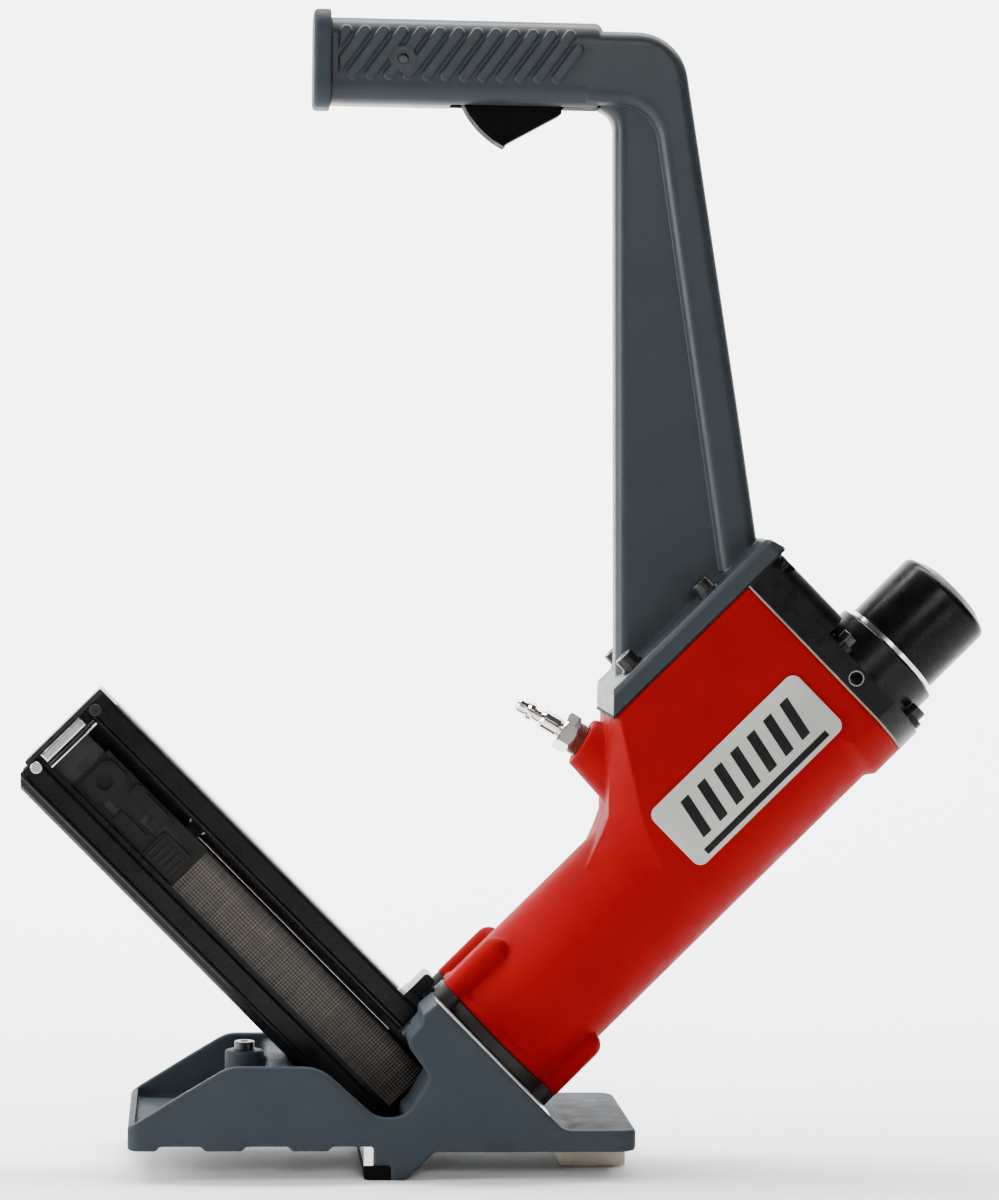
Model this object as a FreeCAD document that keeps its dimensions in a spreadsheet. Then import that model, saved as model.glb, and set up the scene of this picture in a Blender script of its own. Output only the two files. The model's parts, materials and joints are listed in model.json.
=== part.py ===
"""Pneumatic flooring nailer, as an assembly of separate pieces.

The tool stands on its lip and rear pad, with +Z up. The origin is on the floor under the middle of
its outline. The sole that rests on the floorboard is a little above the floor. The drive line leans
back at 45 degrees. Pieces along it are drawn in the drive frame: z runs up the drive line from the
floor, x points down and back from it, and y is across the tool. The magazine runs along -x, square
to the drive line. Lengths are in millimetres.
"""

import FreeCAD
import Part

import math
import os
import re

import Sketcher
from FreeCAD import Placement, Rotation, Vector

# Driving dimensions, one cell of the spreadsheet each.
SIZES = {
    # drive line and the pieces stacked along it, as distances up the line
    "axis_x": -67.0,
    "drive_tilt": 45.0,
    "seat_up": 83.0,
    "ring_thick": 7.0,
    "housing_top": 334.0,
    "gasket_thick": 1.0,
    "plate_thick": 11.5,
    "block_thick": 11.5,
    "collar_up": 18.0,
    "cap_up": 367.3,
    "cap_side": 37.7,
    "cap_dome": 6.0,
    # radii about the drive line
    "barrel_r": 37.5,
    "foot_r": 38.5,
    "crown_r": 40.8,
    "bore_r": 32.5,
    "neck_r": 30.4,
    "sleeve_outer_r": 30.0,
    "sleeve_bore_r": 26.0,
    "collar_r": 30.5,
    "collar_bore_r": 28.2,
    "cap_r": 26.9,
    "strike_out": -2.0,
    "stem_r": 5.0,
    # reservoir and handle flange, as distances out from the drive line
    "reservoir_out": 76.4,
    "flange_gasket": 0.8,
    "flange_thick": 9.5,
    "flange_end": 358.0,
    "half_width": 37.5,
    "wall_x": 49.2,
    "reservoir_middle": 22.0,
    # moving pieces inside the housing
    "piston_up": 203.0,
    "piston_long": 14.0,
    "piston_r": 25.6,
    "blade_out": 9.1,
    "blade_thick": 1.8,
    "blade_wide": 12.4,
    "blade_tip": 80.0,
    "bumper_top": 124.0,
    "sleeve_low": 98.2,
    "sleeve_top": 232.0,
    # shoe
    "shoe_half": 55.0,
    "shoe_wall": 5.0,
    "shoe_front": -186.2,
    "shoe_back": 62.3,
    "sole_z": 14.0,
    "notch_z": 16.2,
    "tray_z": 22.0,
    "wall_z": 55.2,
    "heel_z": 13.0,
    "heel_top_z": 23.8,
    "lip_x": -67.0,
    "guide_thick": 4.5,
    "boss_x": -129.3,
    "boss_r": 9.75,
    # magazine
    "mag_low": 8.0,
    "mag_high": 71.0,
    "mag_half": 13.0,
    "mag_wall": 2.3,
    "mag_ridge": 0.9,
    "mag_end": 260.0,
    "window_low": 25.0,
    "window_high": 57.5,
    "leg_tip": 14.0,
    "crown_top": 52.0,
    "wire": 1.5,
    "crown_half": 6.35,
    "strip_start": 10.3,
    "strip_end": 167.3,
    "pusher_long": 70.4,
    # handle
    "grip_low": 525.5,
    "grip_high": 568.0,
    "grip_half": 17.0,
    "grip_start": -92.5,
    "grip_end": 42.0,
    "grip_round": 11.0,
    "grip_bore_r": 14.0,
    "shoulder_z": 563.7,
    "web_half": 11.0,
    "spine_half": 17.0,
    "rib_pitch": 9.2,
    "rib_angle": 54.0,
    "rib_half": 2.4,
    "rib_proud": 1.3,
    "trigger_x": 14.0,
    "trigger_z": 546.5,
    "trigger_reach": 44.6,
    "trigger_half": 8.5,
    # fasteners
    "screw_r": 3.0,
    "screw_head_r": 5.0,
    "screw_head": 6.0,
    # air inlet
    "inlet_x": 37.5,
    "inlet_z": 210.6,
    "inlet_rise": 30.0,
    "inlet_r": 12.5,
}
ACROSS = Vector(0, 1, 0)
ORIGIN = Vector(0, 0, 0)
ROOT_2 = math.sqrt(2)

doc = FreeCAD.newDocument("FlooringNailer")


def make_sheet():
    """The spreadsheet of driving dimensions, one aliased cell to each."""
    made = doc.addObject("Spreadsheet::Sheet", "Sizes")
    for row, (alias, number) in enumerate(SIZES.items(), start=1):
        made.set(f"A{row}", alias)
        made.set(f"B{row}", str(number))
        made.setAlias(f"B{row}", alias)
    doc.recompute()
    return made


sheet = make_sheet()


def expression(text):
    """The text with each size's name written as a reference to its cell."""

    def reference(found):
        word = found.group()
        return "Sizes." + word if word in SIZES else word

    return re.sub(r"[A-Za-z_]\w*", reference, str(text))


def size(text):
    """The number that an expression of sizes comes to."""
    return float(sheet.evalExpression(expression(text)))


DRIVE = Placement(Vector(size("axis_x"), 0, 0), Rotation(ACROSS, size("drive_tilt")))


def point(out, up):
    """A point of the drive frame, out to the magazine and up the line, as a place in the tool's frame."""
    return DRIVE.multVec(Vector(-out, 0, up))


def bind(item, sizes, at=("0", "0", "0")):
    """Ties an object's properties, and its place, to expressions of sizes."""
    for name, text in sizes.items():
        item.setExpression(name, expression(text))
    for axis, text in zip("xyz", at):
        item.setExpression(f".Placement.Base.{axis}", expression(text))
    return item


def box(name, x, y, z):
    """A block between pairs of expressions, one pair to each axis."""
    item = doc.addObject("Part::Box", name)
    lengths = [f"({high}) - ({low})" for low, high in (x, y, z)]
    return bind(item, dict(zip(("Length", "Width", "Height"), lengths)), (x[0], y[0], z[0]))


def rod(name, radius, low, high, at=("0", "0"), along="z"):
    """A cylinder along an axis, between two expressions. The other two coordinates are at."""
    item = doc.addObject("Part::Cylinder", name)
    turns = {"z": Rotation(), "x": Rotation(ACROSS, 90), "y": Rotation(Vector(1, 0, 0), -90)}
    item.Placement = Placement(ORIGIN, turns[along])
    place = {"z": (at[0], at[1], low), "x": (low, at[0], at[1]), "y": (at[0], low, at[1])}[along]
    return bind(item, {"Radius": radius, "Height": f"({high}) - ({low})"}, place)


def cut(name, base, tool):
    item = doc.addObject("Part::Cut", name)
    item.Base, item.Tool = base, tool
    return item


def join(name, items):
    item = doc.addObject("Part::MultiFuse", name)
    item.Shapes = items
    return item


def solid(name, shape, place=None):
    """A shape made with Part's own functions, as an object of the document."""
    item = doc.addObject("Part::Feature", name)
    item.Shape = shape
    if place is not None:
        item.Placement = place
    return item


pieces = []


def piece(label, item, place=None):
    """Names a finished sub-part and lists it for writing."""
    item.Label = label
    if place is not None:
        item.Placement = place
    pieces.append(item)
    return item


# ---------------------------------------------------------------- sketches


def sketch_on(body, role, corners, name="Outline"):
    """A closed sketch of straight edges on one of the body's own planes. Each corner is two expressions."""
    sketch = body.newObject("Sketcher::SketchObject", name)
    plane = next(item for item in body.Origin.OriginFeatures if item.Role == role)
    sketch.AttachmentSupport = [(plane, "")]
    sketch.MapMode = "FlatFace"
    places = [Vector(size(x), size(y), 0) for x, y in corners]
    count = len(places)
    for i in range(count):
        sketch.addGeometry(Part.LineSegment(places[i], places[(i + 1) % count]))
    for i in range(count):
        sketch.addConstraint(Sketcher.Constraint("Coincident", i, 2, (i + 1) % count, 1))
    for i, (x, y) in enumerate(corners):
        for kind, axis, text, number in (
            ("DistanceX", -2, x, places[i].x),
            ("DistanceY", -1, y, places[i].y),
        ):
            if str(text) == "0":
                sketch.addConstraint(Sketcher.Constraint("PointOnObject", i, 1, axis))
                continue
            index = sketch.addConstraint(Sketcher.Constraint(kind, -1, 1, i, 1, number))
            sketch.setExpression(f"Constraints[{index}]", expression(text))
    return sketch


def turned(name, corners):
    """A body of revolution about z. Each corner is a radius and a height."""
    body = doc.addObject("PartDesign::Body", name)
    sketch = sketch_on(body, "XZ_Plane", corners)
    turn = body.newObject("PartDesign::Revolution", "Turn")
    turn.Profile = sketch
    turn.ReferenceAxis = (sketch, ["V_Axis"])
    turn.Angle = 360
    return body


def padded(name, role, corners, length):
    """A body with one outline padded to both sides of its plane."""
    body = doc.addObject("PartDesign::Body", name)
    pad = body.newObject("PartDesign::Pad", "Pad")
    pad.Profile = sketch_on(body, role, corners)
    pad.SideType = "Symmetric"
    pad.setExpression("Length", expression(length))
    return body


# ---------------------------------------------------------------- outlines of castings


def rounded_outline(corners):
    """A closed wire in the XZ plane. Each corner is x, z and the radius that rounds it."""
    places = [Vector(x, 0, z) for x, z, _ in corners]
    starts, ends, arcs = [], [], []
    for i, (here, (_, _, radius)) in enumerate(zip(places, corners)):
        to_last = (places[i - 1] - here).normalize()
        to_next = (places[(i + 1) % len(places)] - here).normalize()
        half = to_last.getAngle(to_next) / 2
        reach = radius / math.tan(half)
        first, last = here + to_last * reach, here + to_next * reach
        middle = (to_last + to_next).normalize()
        top = here + middle * (radius / math.sin(half) - radius)
        starts.append(first)
        ends.append(last)
        arcs.append(Part.Arc(first, top, last).toShape() if radius > 0 else None)
    edges = []
    for i, arc in enumerate(arcs):
        if arc is not None:
            edges.append(arc)
        following = starts[(i + 1) % len(starts)]
        if ends[i].distanceToPoint(following) > 1e-6:
            edges.append(Part.LineSegment(ends[i], following).toShape())
    return Part.Wire(edges)


def slab(corners, low, high):
    """A rounded outline in the XZ plane, pushed from y = low to y = high."""
    face = Part.Face(rounded_outline(corners))
    face.translate(Vector(0, low, 0))
    return face.extrude(Vector(0, high - low, 0))


def block(x, y, z):
    """A plain block between three pairs of numbers."""
    return Part.makeBox(x[1] - x[0], y[1] - y[0], z[1] - z[0], Vector(x[0], y[0], z[0]))


def bar(radius, start, end):
    """A cylinder from one point to another."""
    along = end - start
    return Part.makeCylinder(radius, along.Length, start, along)


def in_drive_frame(shape):
    """The shape, moved from the drive frame to the tool's frame."""
    moved = shape.copy()
    moved.Placement = DRIVE.multiply(moved.Placement)
    return moved


def in_tool_frame(shape):
    """The shape, written in the drive frame instead of the tool's frame."""
    moved = shape.copy()
    moved.Placement = DRIVE.inverse().multiply(moved.Placement)
    return moved


# ---------------------------------------------------------------- fasteners


def hexagon_bar(corner, height):
    """A hexagonal bar standing on z = 0, by its distance from the middle to a corner."""
    turns = [math.radians(60 * i) for i in range(7)]
    outline = Part.makePolygon([Vector(corner * math.cos(a), corner * math.sin(a), 0) for a in turns])
    return Part.Face(outline).extrude(Vector(0, 0, height))


def socket_screw(shank, head=None, radius=None, head_r=None, head_h=None):
    """A cap screw along z with its head above z = 0 and a hexagon socket in the head."""
    radius = radius or size("screw_r")
    head_r = head_r or size("screw_head_r")
    head_h = head_h or size("screw_head")
    key = head_r * 0.52
    socket = hexagon_bar(key, head_h)
    socket.translate(Vector(0, 0, head_h * 0.45))
    top = Part.makeCylinder(head_r, head_h)
    top = top.makeFillet(head_r * 0.12, [e for e in top.Edges if e.BoundBox.ZMin > head_h - 0.01])
    stem = Part.makeCylinder(radius, shank, Vector(0, 0, -shank))
    return top.fuse(stem).removeSplitter().cut(socket)


def screws(name, places, shank, turn=None, **sizes):
    """Like cap screws at several places, as one group."""
    one = socket_screw(shank, **sizes)
    made = []
    for place in places:
        copy = one.copy()
        copy.Placement = Placement(place, turn or Rotation())
        made.append(copy)
    return solid(name, Part.makeCompound(made))


def coil_spring(name, radius, wire, low, high, turns):
    """A helical spring about z."""
    pitch = (high - low - 2 * wire) / turns
    path = Part.makeHelix(pitch, high - low - 2 * wire, radius)
    section = Part.Wire(Part.Circle(Vector(radius, 0, 0), ACROSS, wire).toShape())
    coil = Part.Wire(path.Edges).makePipeShell([section], True, True)
    coil.translate(Vector(0, 0, low + wire))
    return solid(name, Part.makeCompound([coil]))


# ---------------------------------------------------------------- shoe

SHOE_SIDE = [
    (size("shoe_front"), size("sole_z"), 1.5),
    (size("shoe_front"), 25.2, 1.5),
    (-158.5, 42.6, 20),
    (-137.5, size("wall_z"), 18),
    (-93.5, size("wall_z"), 22),
    (-65.7, 30.3, 12),
    (-51.0, 30.3, 12),
    (-39.6, 50.3, 5),
    (-52.0, 67.2, 6),
    (-43.9, 76.2, 2),
    (-43.9, 80.2, 1.5),
    (point(39.5, 83).x, point(39.5, 83).z, 2),
    (size("seat_up") * ROOT_2 + size("axis_x") - size("heel_top_z"), size("heel_top_z"), 9),
    (size("shoe_back"), size("heel_top_z"), 1.5),
    (size("shoe_back"), size("heel_z") + 0.4, 1.5),
    (-37.4, size("heel_z") + 0.4, 3),
    (-50.7, 0, 1),
    (-58.3, 0, 0),
    (-58.3, 7, 0),
    (size("lip_x"), 7, 0),
    (size("lip_x"), size("notch_z"), 0),
    (-87.4, size("notch_z"), 0.5),
    (-88.6, size("sole_z"), 0.5),
    (-106.6, size("sole_z"), 0.5),
    (-108.0, size("notch_z"), 0.5),
    (-129.2, size("notch_z"), 0.5),
    (-130.6, size("sole_z"), 0.5),
    (-148.8, size("sole_z"), 0.5),
    (-150.2, size("notch_z"), 0.5),
    (-171.0, size("notch_z"), 0.5),
    (-172.2, size("sole_z"), 0.5),
]
HOUSING_SCREWS = [(33.0, 20.0), (33.0, -20.0), (-33.0, 20.0), (-33.0, -20.0)]
HOUSING_SCREW_SEAT = 64.0


def shoe_plan():
    """The shoe's outline from above, as a tall block with rounded corners."""
    half = size("shoe_half")
    whole = block((size("shoe_front"), size("shoe_back")), (-half, half), (-5, 95))
    upright = [e for e in whole.Edges if e.BoundBox.ZLength > 50]
    front = [e for e in upright if e.BoundBox.XMax < 0]
    rear = [e for e in upright if e.BoundBox.XMin > 0]
    return whole.makeFillet(6, front).makeFillet(9, rear)


def shoe():
    """The cast shoe: a tray in front, a 45 degree seat for the housing, a lip below and a heel behind."""
    half, wall = size("shoe_half"), size("shoe_wall")
    inner = half - wall
    body = slab(SHOE_SIDE, -half, half).common(shoe_plan())
    body = body.cut(block((size("shoe_front") + 3.5, -52), (-inner, inner), (size("tray_z"), 80)))
    rest = size("mag_low") - 0.3
    cradle_end = point(0, rest).x + point(0, rest).z - 52
    cradle = [(-119, 20, 0), (-119, 52, 3), (cradle_end, 52, 3), (-76.5, 20, 0)]
    body = body.fuse(slab(cradle, -inner, inner))
    boss_x, boss_r = size("boss_x"), size("boss_r")
    body = body.fuse(Part.makeCylinder(boss_r, 35, Vector(boss_x, 0, 20)))
    body = body.fuse(block((boss_x, -118), (-3, 3), (20, 50)))
    body = body.cut(Part.makeCylinder(size("screw_r") + 0.1, 30, Vector(boss_x, 0, 30)))

    gap, half_mag = 0.3, size("mag_half") + size("mag_ridge") + 0.3
    low, high = size("mag_low") - gap, size("mag_high") + gap
    front = size("blade_out") + size("blade_thick") / 2 + 0.1
    magazine_slot = in_drive_frame(block((-290, -front), (-half_mag, half_mag), (low, high)))
    body = body.cut(magazine_slot.cut(block((-200, 100), (-60, 60), (-20, 18.5))))
    leg = size("crown_half") + 0.4
    body = body.cut(in_drive_frame(block((-40, -front), (-leg, leg), (size("leg_tip") - 0.4, 53))))
    back = size("blade_out") - size("blade_thick") / 2 - 0.1
    channel = size("blade_wide") / 2 + 0.15
    body = body.cut(in_drive_frame(block((-front, -back), (-channel, channel), (-12, 90))))

    for out, across in HOUSING_SCREWS:
        start = 40 if out > 0 else 30
        well = Part.makeCylinder(5.4, HOUSING_SCREW_SEAT - start, Vector(-out, across, start))
        hole = Part.makeCylinder(3.1, 30, Vector(-out, across, HOUSING_SCREW_SEAT - 1))
        body = body.cut(in_drive_frame(well)).cut(in_drive_frame(hole))
    body = body.cut(in_drive_frame(block((-70, -33.4), (-12.6, 12.6), (60, 95))))
    return body.removeSplitter()


piece("base_shoe", solid("Shoe", shoe()))

tip = solid("TipBlank", slab([(-71.5, 0, 1.5), (-71.5, 7, 0), (-58.3, 7, 0), (-58.3, 0, 0)], -54, 54))
piece("lip_tip", tip)
strip = box("StripBlank", ("lip_x - guide_thick", "lip_x"), ("-54", "54"), ("7", "notch_z"))
slot_y = ("-blade_wide / 2 - 0.3", "blade_wide / 2 + 0.3")
strip_slot = box("StripSlot", ("lip_x - 30", "lip_x + 10"), slot_y, ("0", "14.6"))
piece("lip_strip", cut("Strip", strip, strip_slot))

PAD = [
    ("-16.2", "0.6"),
    ("-14.6", "0"),
    ("12.6", "0"),
    ("16.2", "0.6"),
    ("16.2", "heel_z + 0.4"),
    ("-16.2", "heel_z + 0.4"),
]
pad = padded("RearPad", "XZ_Plane", PAD, "40")
piece("rear_pad", pad, Placement(Vector(44.2, 0, 0), Rotation()))

boss_screw = screws("BossScrew", [Vector(size("boss_x"), 0, 55.1)], 22, head_h=4.2)
piece("boss_screw", boss_screw)

# ---------------------------------------------------------------- housing and the pieces in it

RING = [
    ("14", "seat_up"),
    ("barrel_r - 0.4", "seat_up"),
    ("barrel_r + 0.4", "seat_up + 0.8"),
    ("barrel_r + 0.4", "seat_up + ring_thick - 0.8"),
    ("barrel_r - 0.4", "seat_up + ring_thick"),
    ("14", "seat_up + ring_thick"),
]


def foot_ring():
    """The resilient ring between the shoe and the housing, with lugs round the four screws."""
    ring_body = turned("RingBody", RING)
    doc.recompute()
    shape = ring_body.Shape
    low, thick = size("seat_up"), size("ring_thick")
    for out, across in HOUSING_SCREWS:
        shape = shape.fuse(Part.makeCylinder(6.6, thick, Vector(-out, across, low)))
    for out, across in HOUSING_SCREWS:
        shape = shape.cut(Part.makeCylinder(3.2, thick, Vector(-out, across, low)))
    return solid("FootRing", shape.removeSplitter(), DRIVE)


piece("foot_ring", foot_ring())


def on_top(x):
    """The point of the reservoir's upper face at a distance along x, in the tool's frame."""
    return x, x + size("reservoir_out") * ROOT_2 - size("axis_x")


def drive_point(out, up):
    """A point of the drive frame as x and z of the tool's frame."""
    place = point(out, up)
    return place.x, place.z


def side_wire(corners, across):
    """A closed outline at one distance across the tool."""
    places = [Vector(x, across, z) for x, z in corners]
    return Part.makePolygon([*places, places[0]])


def reservoir():
    """The reservoir beside the barrel: full depth over a narrow middle, drawn in towards its two sides."""
    top, out = size("housing_top"), size("reservoir_out")
    wall, half, middle = size("wall_x"), size("half_width"), size("reservoir_middle")
    narrow = [
        drive_point(out, top),
        on_top(wall),
        (wall, 175),
        (wall - 3.2, 166),
        drive_point(20, 150),
        drive_point(0, 170),
        drive_point(0, top),
    ]
    wide = [
        drive_point(out, top),
        on_top(wall + 2.6),
        (wall + 11.4, 191),
        (wall + 15.2, 174.6),
        (wall + 23.9, 156),
        drive_point(0, 204),
        drive_point(0, top),
    ]
    body = Part.Face(side_wire(narrow, -middle)).extrude(Vector(0, 2 * middle, 0))
    for side in (-1, 1):
        flank = Part.makeLoft([side_wire(narrow, side * middle), side_wire(wide, side * half)], True, True)
        body = body.fuse(flank)
    return body.removeSplitter()


def reservoir_hollow():
    """The room inside the reservoir, in the tool's frame."""
    top, wall = size("housing_top"), size("wall_x")
    inner = size("half_width") - 6
    corners = [
        drive_point(size("reservoir_out") + 8, top + 30),
        (wall + 6.5, wall + 6.5 + (size("reservoir_out") + 8) * ROOT_2 - size("axis_x")),
        (wall + 12.0, 192),
        (wall + 18.0, 176),
        drive_point(2, 206),
        drive_point(0, top + 30),
    ]
    return Part.Face(side_wire(corners, -inner)).extrude(Vector(0, 2 * inner, 0))


def housing():
    """The cast housing in the drive frame: a barrel, a reservoir beside its upper half, and its bores."""
    low, top = size("seat_up") + size("ring_thick"), size("housing_top")
    barrel_r, half = size("barrel_r"), size("half_width")
    body = Part.makeCylinder(barrel_r, top - low, Vector(0, 0, low))
    foot = Part.makeCylinder(size("foot_r"), 4, Vector(0, 0, low))
    crown = Part.makeCylinder(size("crown_r"), 17, Vector(0, 0, top - 17))
    crown = crown.fuse(Part.makeCone(barrel_r, size("crown_r"), 4, Vector(0, 0, top - 21)))
    crown = crown.common(block((-60, 60), (-half, half), (0, 400)))
    body = body.fuse([foot, crown, in_tool_frame(reservoir())])
    for out, across in HOUSING_SCREWS:
        column = Part.makeCylinder(7.0, 29, Vector(-out, across, low))
        nose = Part.makeSphere(7.0, Vector(-out, across, low + 29))
        body = body.fuse([column, nose])

    inlet = Part.makeCone(size("inlet_r"), 21.0, 27.0, ORIGIN, Vector(0, 0, -1))
    inlet = inlet.fuse(Part.makeCylinder(size("inlet_r"), 30.0, Vector(0, 0, -30)))
    inlet.Placement = INLET
    keep = block((20, size("wall_x") + 12), (-half, half), (150, 240))
    body = body.fuse(in_tool_frame(inlet.common(keep)))

    body = body.cut(Part.makeCylinder(size("bore_r"), top - 98 + 1, Vector(0, 0, 98)))
    hollow = reservoir_hollow()
    lid = in_drive_frame(block((-120, -size("reservoir_out") + 6), (-60, 60), (100, 400)))
    window = in_drive_frame(block((-120, -size("reservoir_out") + 12), (-22, 22), (272, 312)))
    ceiling = in_drive_frame(block((-120, 60), (-60, 60), (size("housing_top") - 8, 400)))
    hollow = hollow.cut(lid.cut(window)).cut(ceiling)
    body = body.cut(in_tool_frame(hollow))
    body = body.cut(Part.makeCylinder(16.2, 20, Vector(0, 0, low - 1)))
    shelf = Part.makeCylinder(size("bore_r") + 1, 9, Vector(0, 0, 205))
    shelf = shelf.cut(Part.makeCylinder(size("neck_r"), 9, Vector(0, 0, 205)))
    body = body.fuse(shelf)
    bore = Part.makeCylinder(8.2, 40, Vector(0, 0, -34))
    bore.Placement = INLET
    body = body.cut(in_tool_frame(bore))
    for out, across in HOUSING_SCREWS:
        body = body.cut(Part.makeCylinder(3.1, 27, Vector(-out, across, low - 1)))
    for out, across in HEAD_SCREWS:
        body = body.cut(Part.makeCylinder(2.6, 17, Vector(-out, across, top - 15)))
    for up, across in FLANGE_SCREWS:
        hole = Part.makeCylinder(3.1, 16, Vector(-size("reservoir_out"), across, up), Vector(1, 0, 0))
        body = body.cut(hole)
    return body.removeSplitter()


INLET = Placement(
    Vector(size("inlet_x"), 0, size("inlet_z")),
    Rotation(ACROSS, size("inlet_rise") - 90),
)
HEAD_SCREWS = [(70.0, 31.0), (70.0, -31.0), (22.0, 29.5), (22.0, -29.5), (-29.5, 22.0), (-29.5, -22.0)]
FLANGE_SCREWS = [(266.5, 25.0), (266.5, -25.0), (319.0, 25.0), (319.0, -25.0)]

piece("cylinder_housing", solid("Housing", housing(), DRIVE))

SLEEVE = [
    ("sleeve_bore_r", "sleeve_low"),
    ("sleeve_outer_r", "sleeve_low"),
    ("sleeve_outer_r", "sleeve_top - 6"),
    ("sleeve_outer_r + 0.1", "sleeve_top - 6"),
    ("sleeve_outer_r + 0.1", "sleeve_top"),
    ("sleeve_bore_r + 1", "sleeve_top"),
    ("sleeve_bore_r", "sleeve_top - 1"),
]


def sleeve():
    """The cylinder sleeve, with rows of small return-air holes near its foot."""
    body = turned("SleeveBody", SLEEVE)
    doc.recompute()
    shape = body.Shape
    for i in range(12):
        turn = math.radians(30 * i)
        aim = Vector(math.cos(turn), math.sin(turn), 0)
        shape = shape.cut(Part.makeCylinder(1.6, 40, Vector(0, 0, 132), aim))
    return solid("Sleeve", shape, DRIVE)


piece("cylinder_sleeve", sleeve())

BUMPER = [
    ("13", "sleeve_low + 0.1"),
    ("25.5", "sleeve_low + 0.1"),
    ("25.5", "sleeve_low + 12"),
    ("22", "bumper_top - 2"),
    ("20", "bumper_top"),
    ("14.5", "bumper_top"),
    ("13", "bumper_top - 2"),
]
piece("piston_bumper", turned("Bumper", BUMPER), DRIVE)

PISTON = [
    ("0", "piston_up + 3"),
    ("11", "piston_up"),
    ("20", "piston_up"),
    ("piston_r", "piston_up + 2.5"),
    ("piston_r", "piston_up + 5.2"),
    ("piston_r - 2.9", "piston_up + 5.2"),
    ("piston_r - 2.9", "piston_up + 8.8"),
    ("piston_r", "piston_up + 8.8"),
    ("piston_r", "piston_up + piston_long - 1"),
    ("piston_r - 1", "piston_up + piston_long"),
    ("0", "piston_up + piston_long"),
]
piece("piston", turned("Piston", PISTON), DRIVE)
o_ring = Part.makeTorus(size("sleeve_bore_r") - 1.65, 1.6, Vector(0, 0, size("piston_up") + 7))
piece("piston_ring", solid("PistonRing", Part.makeCompound([o_ring])), DRIVE)

blade_x = ("-blade_out - blade_thick / 2", "-blade_out + blade_thick / 2")
blade_y = ("-blade_wide / 2", "blade_wide / 2")
blade = box("Blade", blade_x, blade_y, ("blade_tip", "piston_up + 2"))
blade_head_x = ("-blade_out - 1.6", "-blade_out + 8")
blade_head = box("BladeHead", blade_head_x, ("-7", "7"), ("piston_up - 9", "piston_up - 0.1"))
blade_trim = box("BladeTrim", ("-30", "30"), ("-30", "30"), ("piston_up - 0.1", "piston_up + 30"))
blade_low = cut("BladeShort", blade, blade_trim)
piece("driver_blade", join("DriverBlade", [blade_low, blade_head]), DRIVE)

# ---------------------------------------------------------------- head, valve and striking cap


def head_outline():
    """The plan of the head in the drive frame: square over the reservoir, round over the barrel."""
    out, half, crown = size("reservoir_out"), size("half_width"), size("crown_r")
    reach = math.sqrt(crown ** 2 - half ** 2)
    corners = [(-out, -half), (reach, -half), (reach, half), (-out, half)]
    places = [Vector(x, y, 0) for x, y in corners]
    arc = Part.Arc(places[1], Vector(crown, 0, 0), places[2]).toShape()
    straight = [Part.LineSegment(places[i], places[(i + 1) % 4]).toShape() for i in (0, 2, 3)]
    return Part.Face(Part.Wire([straight[0], arc, *straight[1:]]))


def plate_with_holes(low, thick, hole_r=2.7):
    """The head's outline as a plate with its screw holes."""
    plate = head_outline().extrude(Vector(0, 0, thick))
    plate.translate(Vector(0, 0, low))
    for out, across in HEAD_SCREWS:
        plate = plate.cut(Part.makeCylinder(hole_r, thick + 2, Vector(-out, across, low - 1)))
    return plate


def head_gasket():
    plate = plate_with_holes(size("housing_top"), size("gasket_thick"))
    return plate.cut(Part.makeCylinder(size("bore_r"), 5, Vector(0, 0, size("housing_top") - 1)))


def cylinder_head():
    """The head: a plate, a raised block over the reservoir, and a guide for the valve inside the barrel."""
    low = size("housing_top") + size("gasket_thick")
    thick = size("plate_thick")
    plate = plate_with_holes(low, thick)
    raised = block((-size("reservoir_out"), -31.5), (-36, 36), (low, low + thick + size("block_thick")))
    lengthwise = [e for e in raised.Edges if e.BoundBox.XLength > 20 and e.BoundBox.ZMin > low + thick]
    raised = raised.makeFillet(9, lengthwise)
    shift = -size("strike_out")
    raised = raised.cut(Part.makeCylinder(size("collar_r") + 3, 40, Vector(shift, 0, low + thick)))
    guide = Part.makeCylinder(28, 44, Vector(0, 0, low - 44))
    body = plate.fuse([raised, guide])
    for out, across in HEAD_SCREWS[:2]:
        body = body.cut(Part.makeCylinder(2.7, 30, Vector(-out, across, low - 1)))
        body = body.cut(Part.makeCylinder(4.7, 30, Vector(-out, across, low + 4)))
    body = body.cut(Part.makeCylinder(12.3, 34, Vector(0, 0, low - 45)))
    body = body.cut(Part.makeCylinder(21.5, 22, Vector(0, 0, low - 45)))
    body = body.cut(Part.makeCylinder(size("stem_r") + 0.05, 60, Vector(shift, 0, low - 40)))
    body = body.cut(Part.makeCylinder(9.0, 12, Vector(shift, 0, low + thick - 7)))
    body = body.cut(Part.makeCylinder(4.0, 14, Vector(-6.2, -size("half_width") - 1, low + 6), ACROSS))
    return body.removeSplitter()


piece("head_gasket", solid("Gasket", head_gasket(), DRIVE))
piece("cylinder_head", solid("Head", cylinder_head(), DRIVE))
HEAD_TOP = size("housing_top") + size("gasket_thick") + size("plate_thick")

EAR_THICK = 3.0
M5 = {"radius": 2.5, "head_r": 4.25, "head_h": 5.0}

low_screws = [Vector(-out, across, HEAD_TOP + EAR_THICK + 0.05) for out, across in HEAD_SCREWS[2:]]
deep_screws = [Vector(-out, across, HEAD_TOP - size("plate_thick") + 4.1) for out, across in HEAD_SCREWS[:2]]
piece("head_screws", screws("HeadScrews", low_screws, 29, **M5), DRIVE)
piece("head_deep_screws", screws("HeadDeepScrews", deep_screws, 19, **M5), DRIVE)


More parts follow.
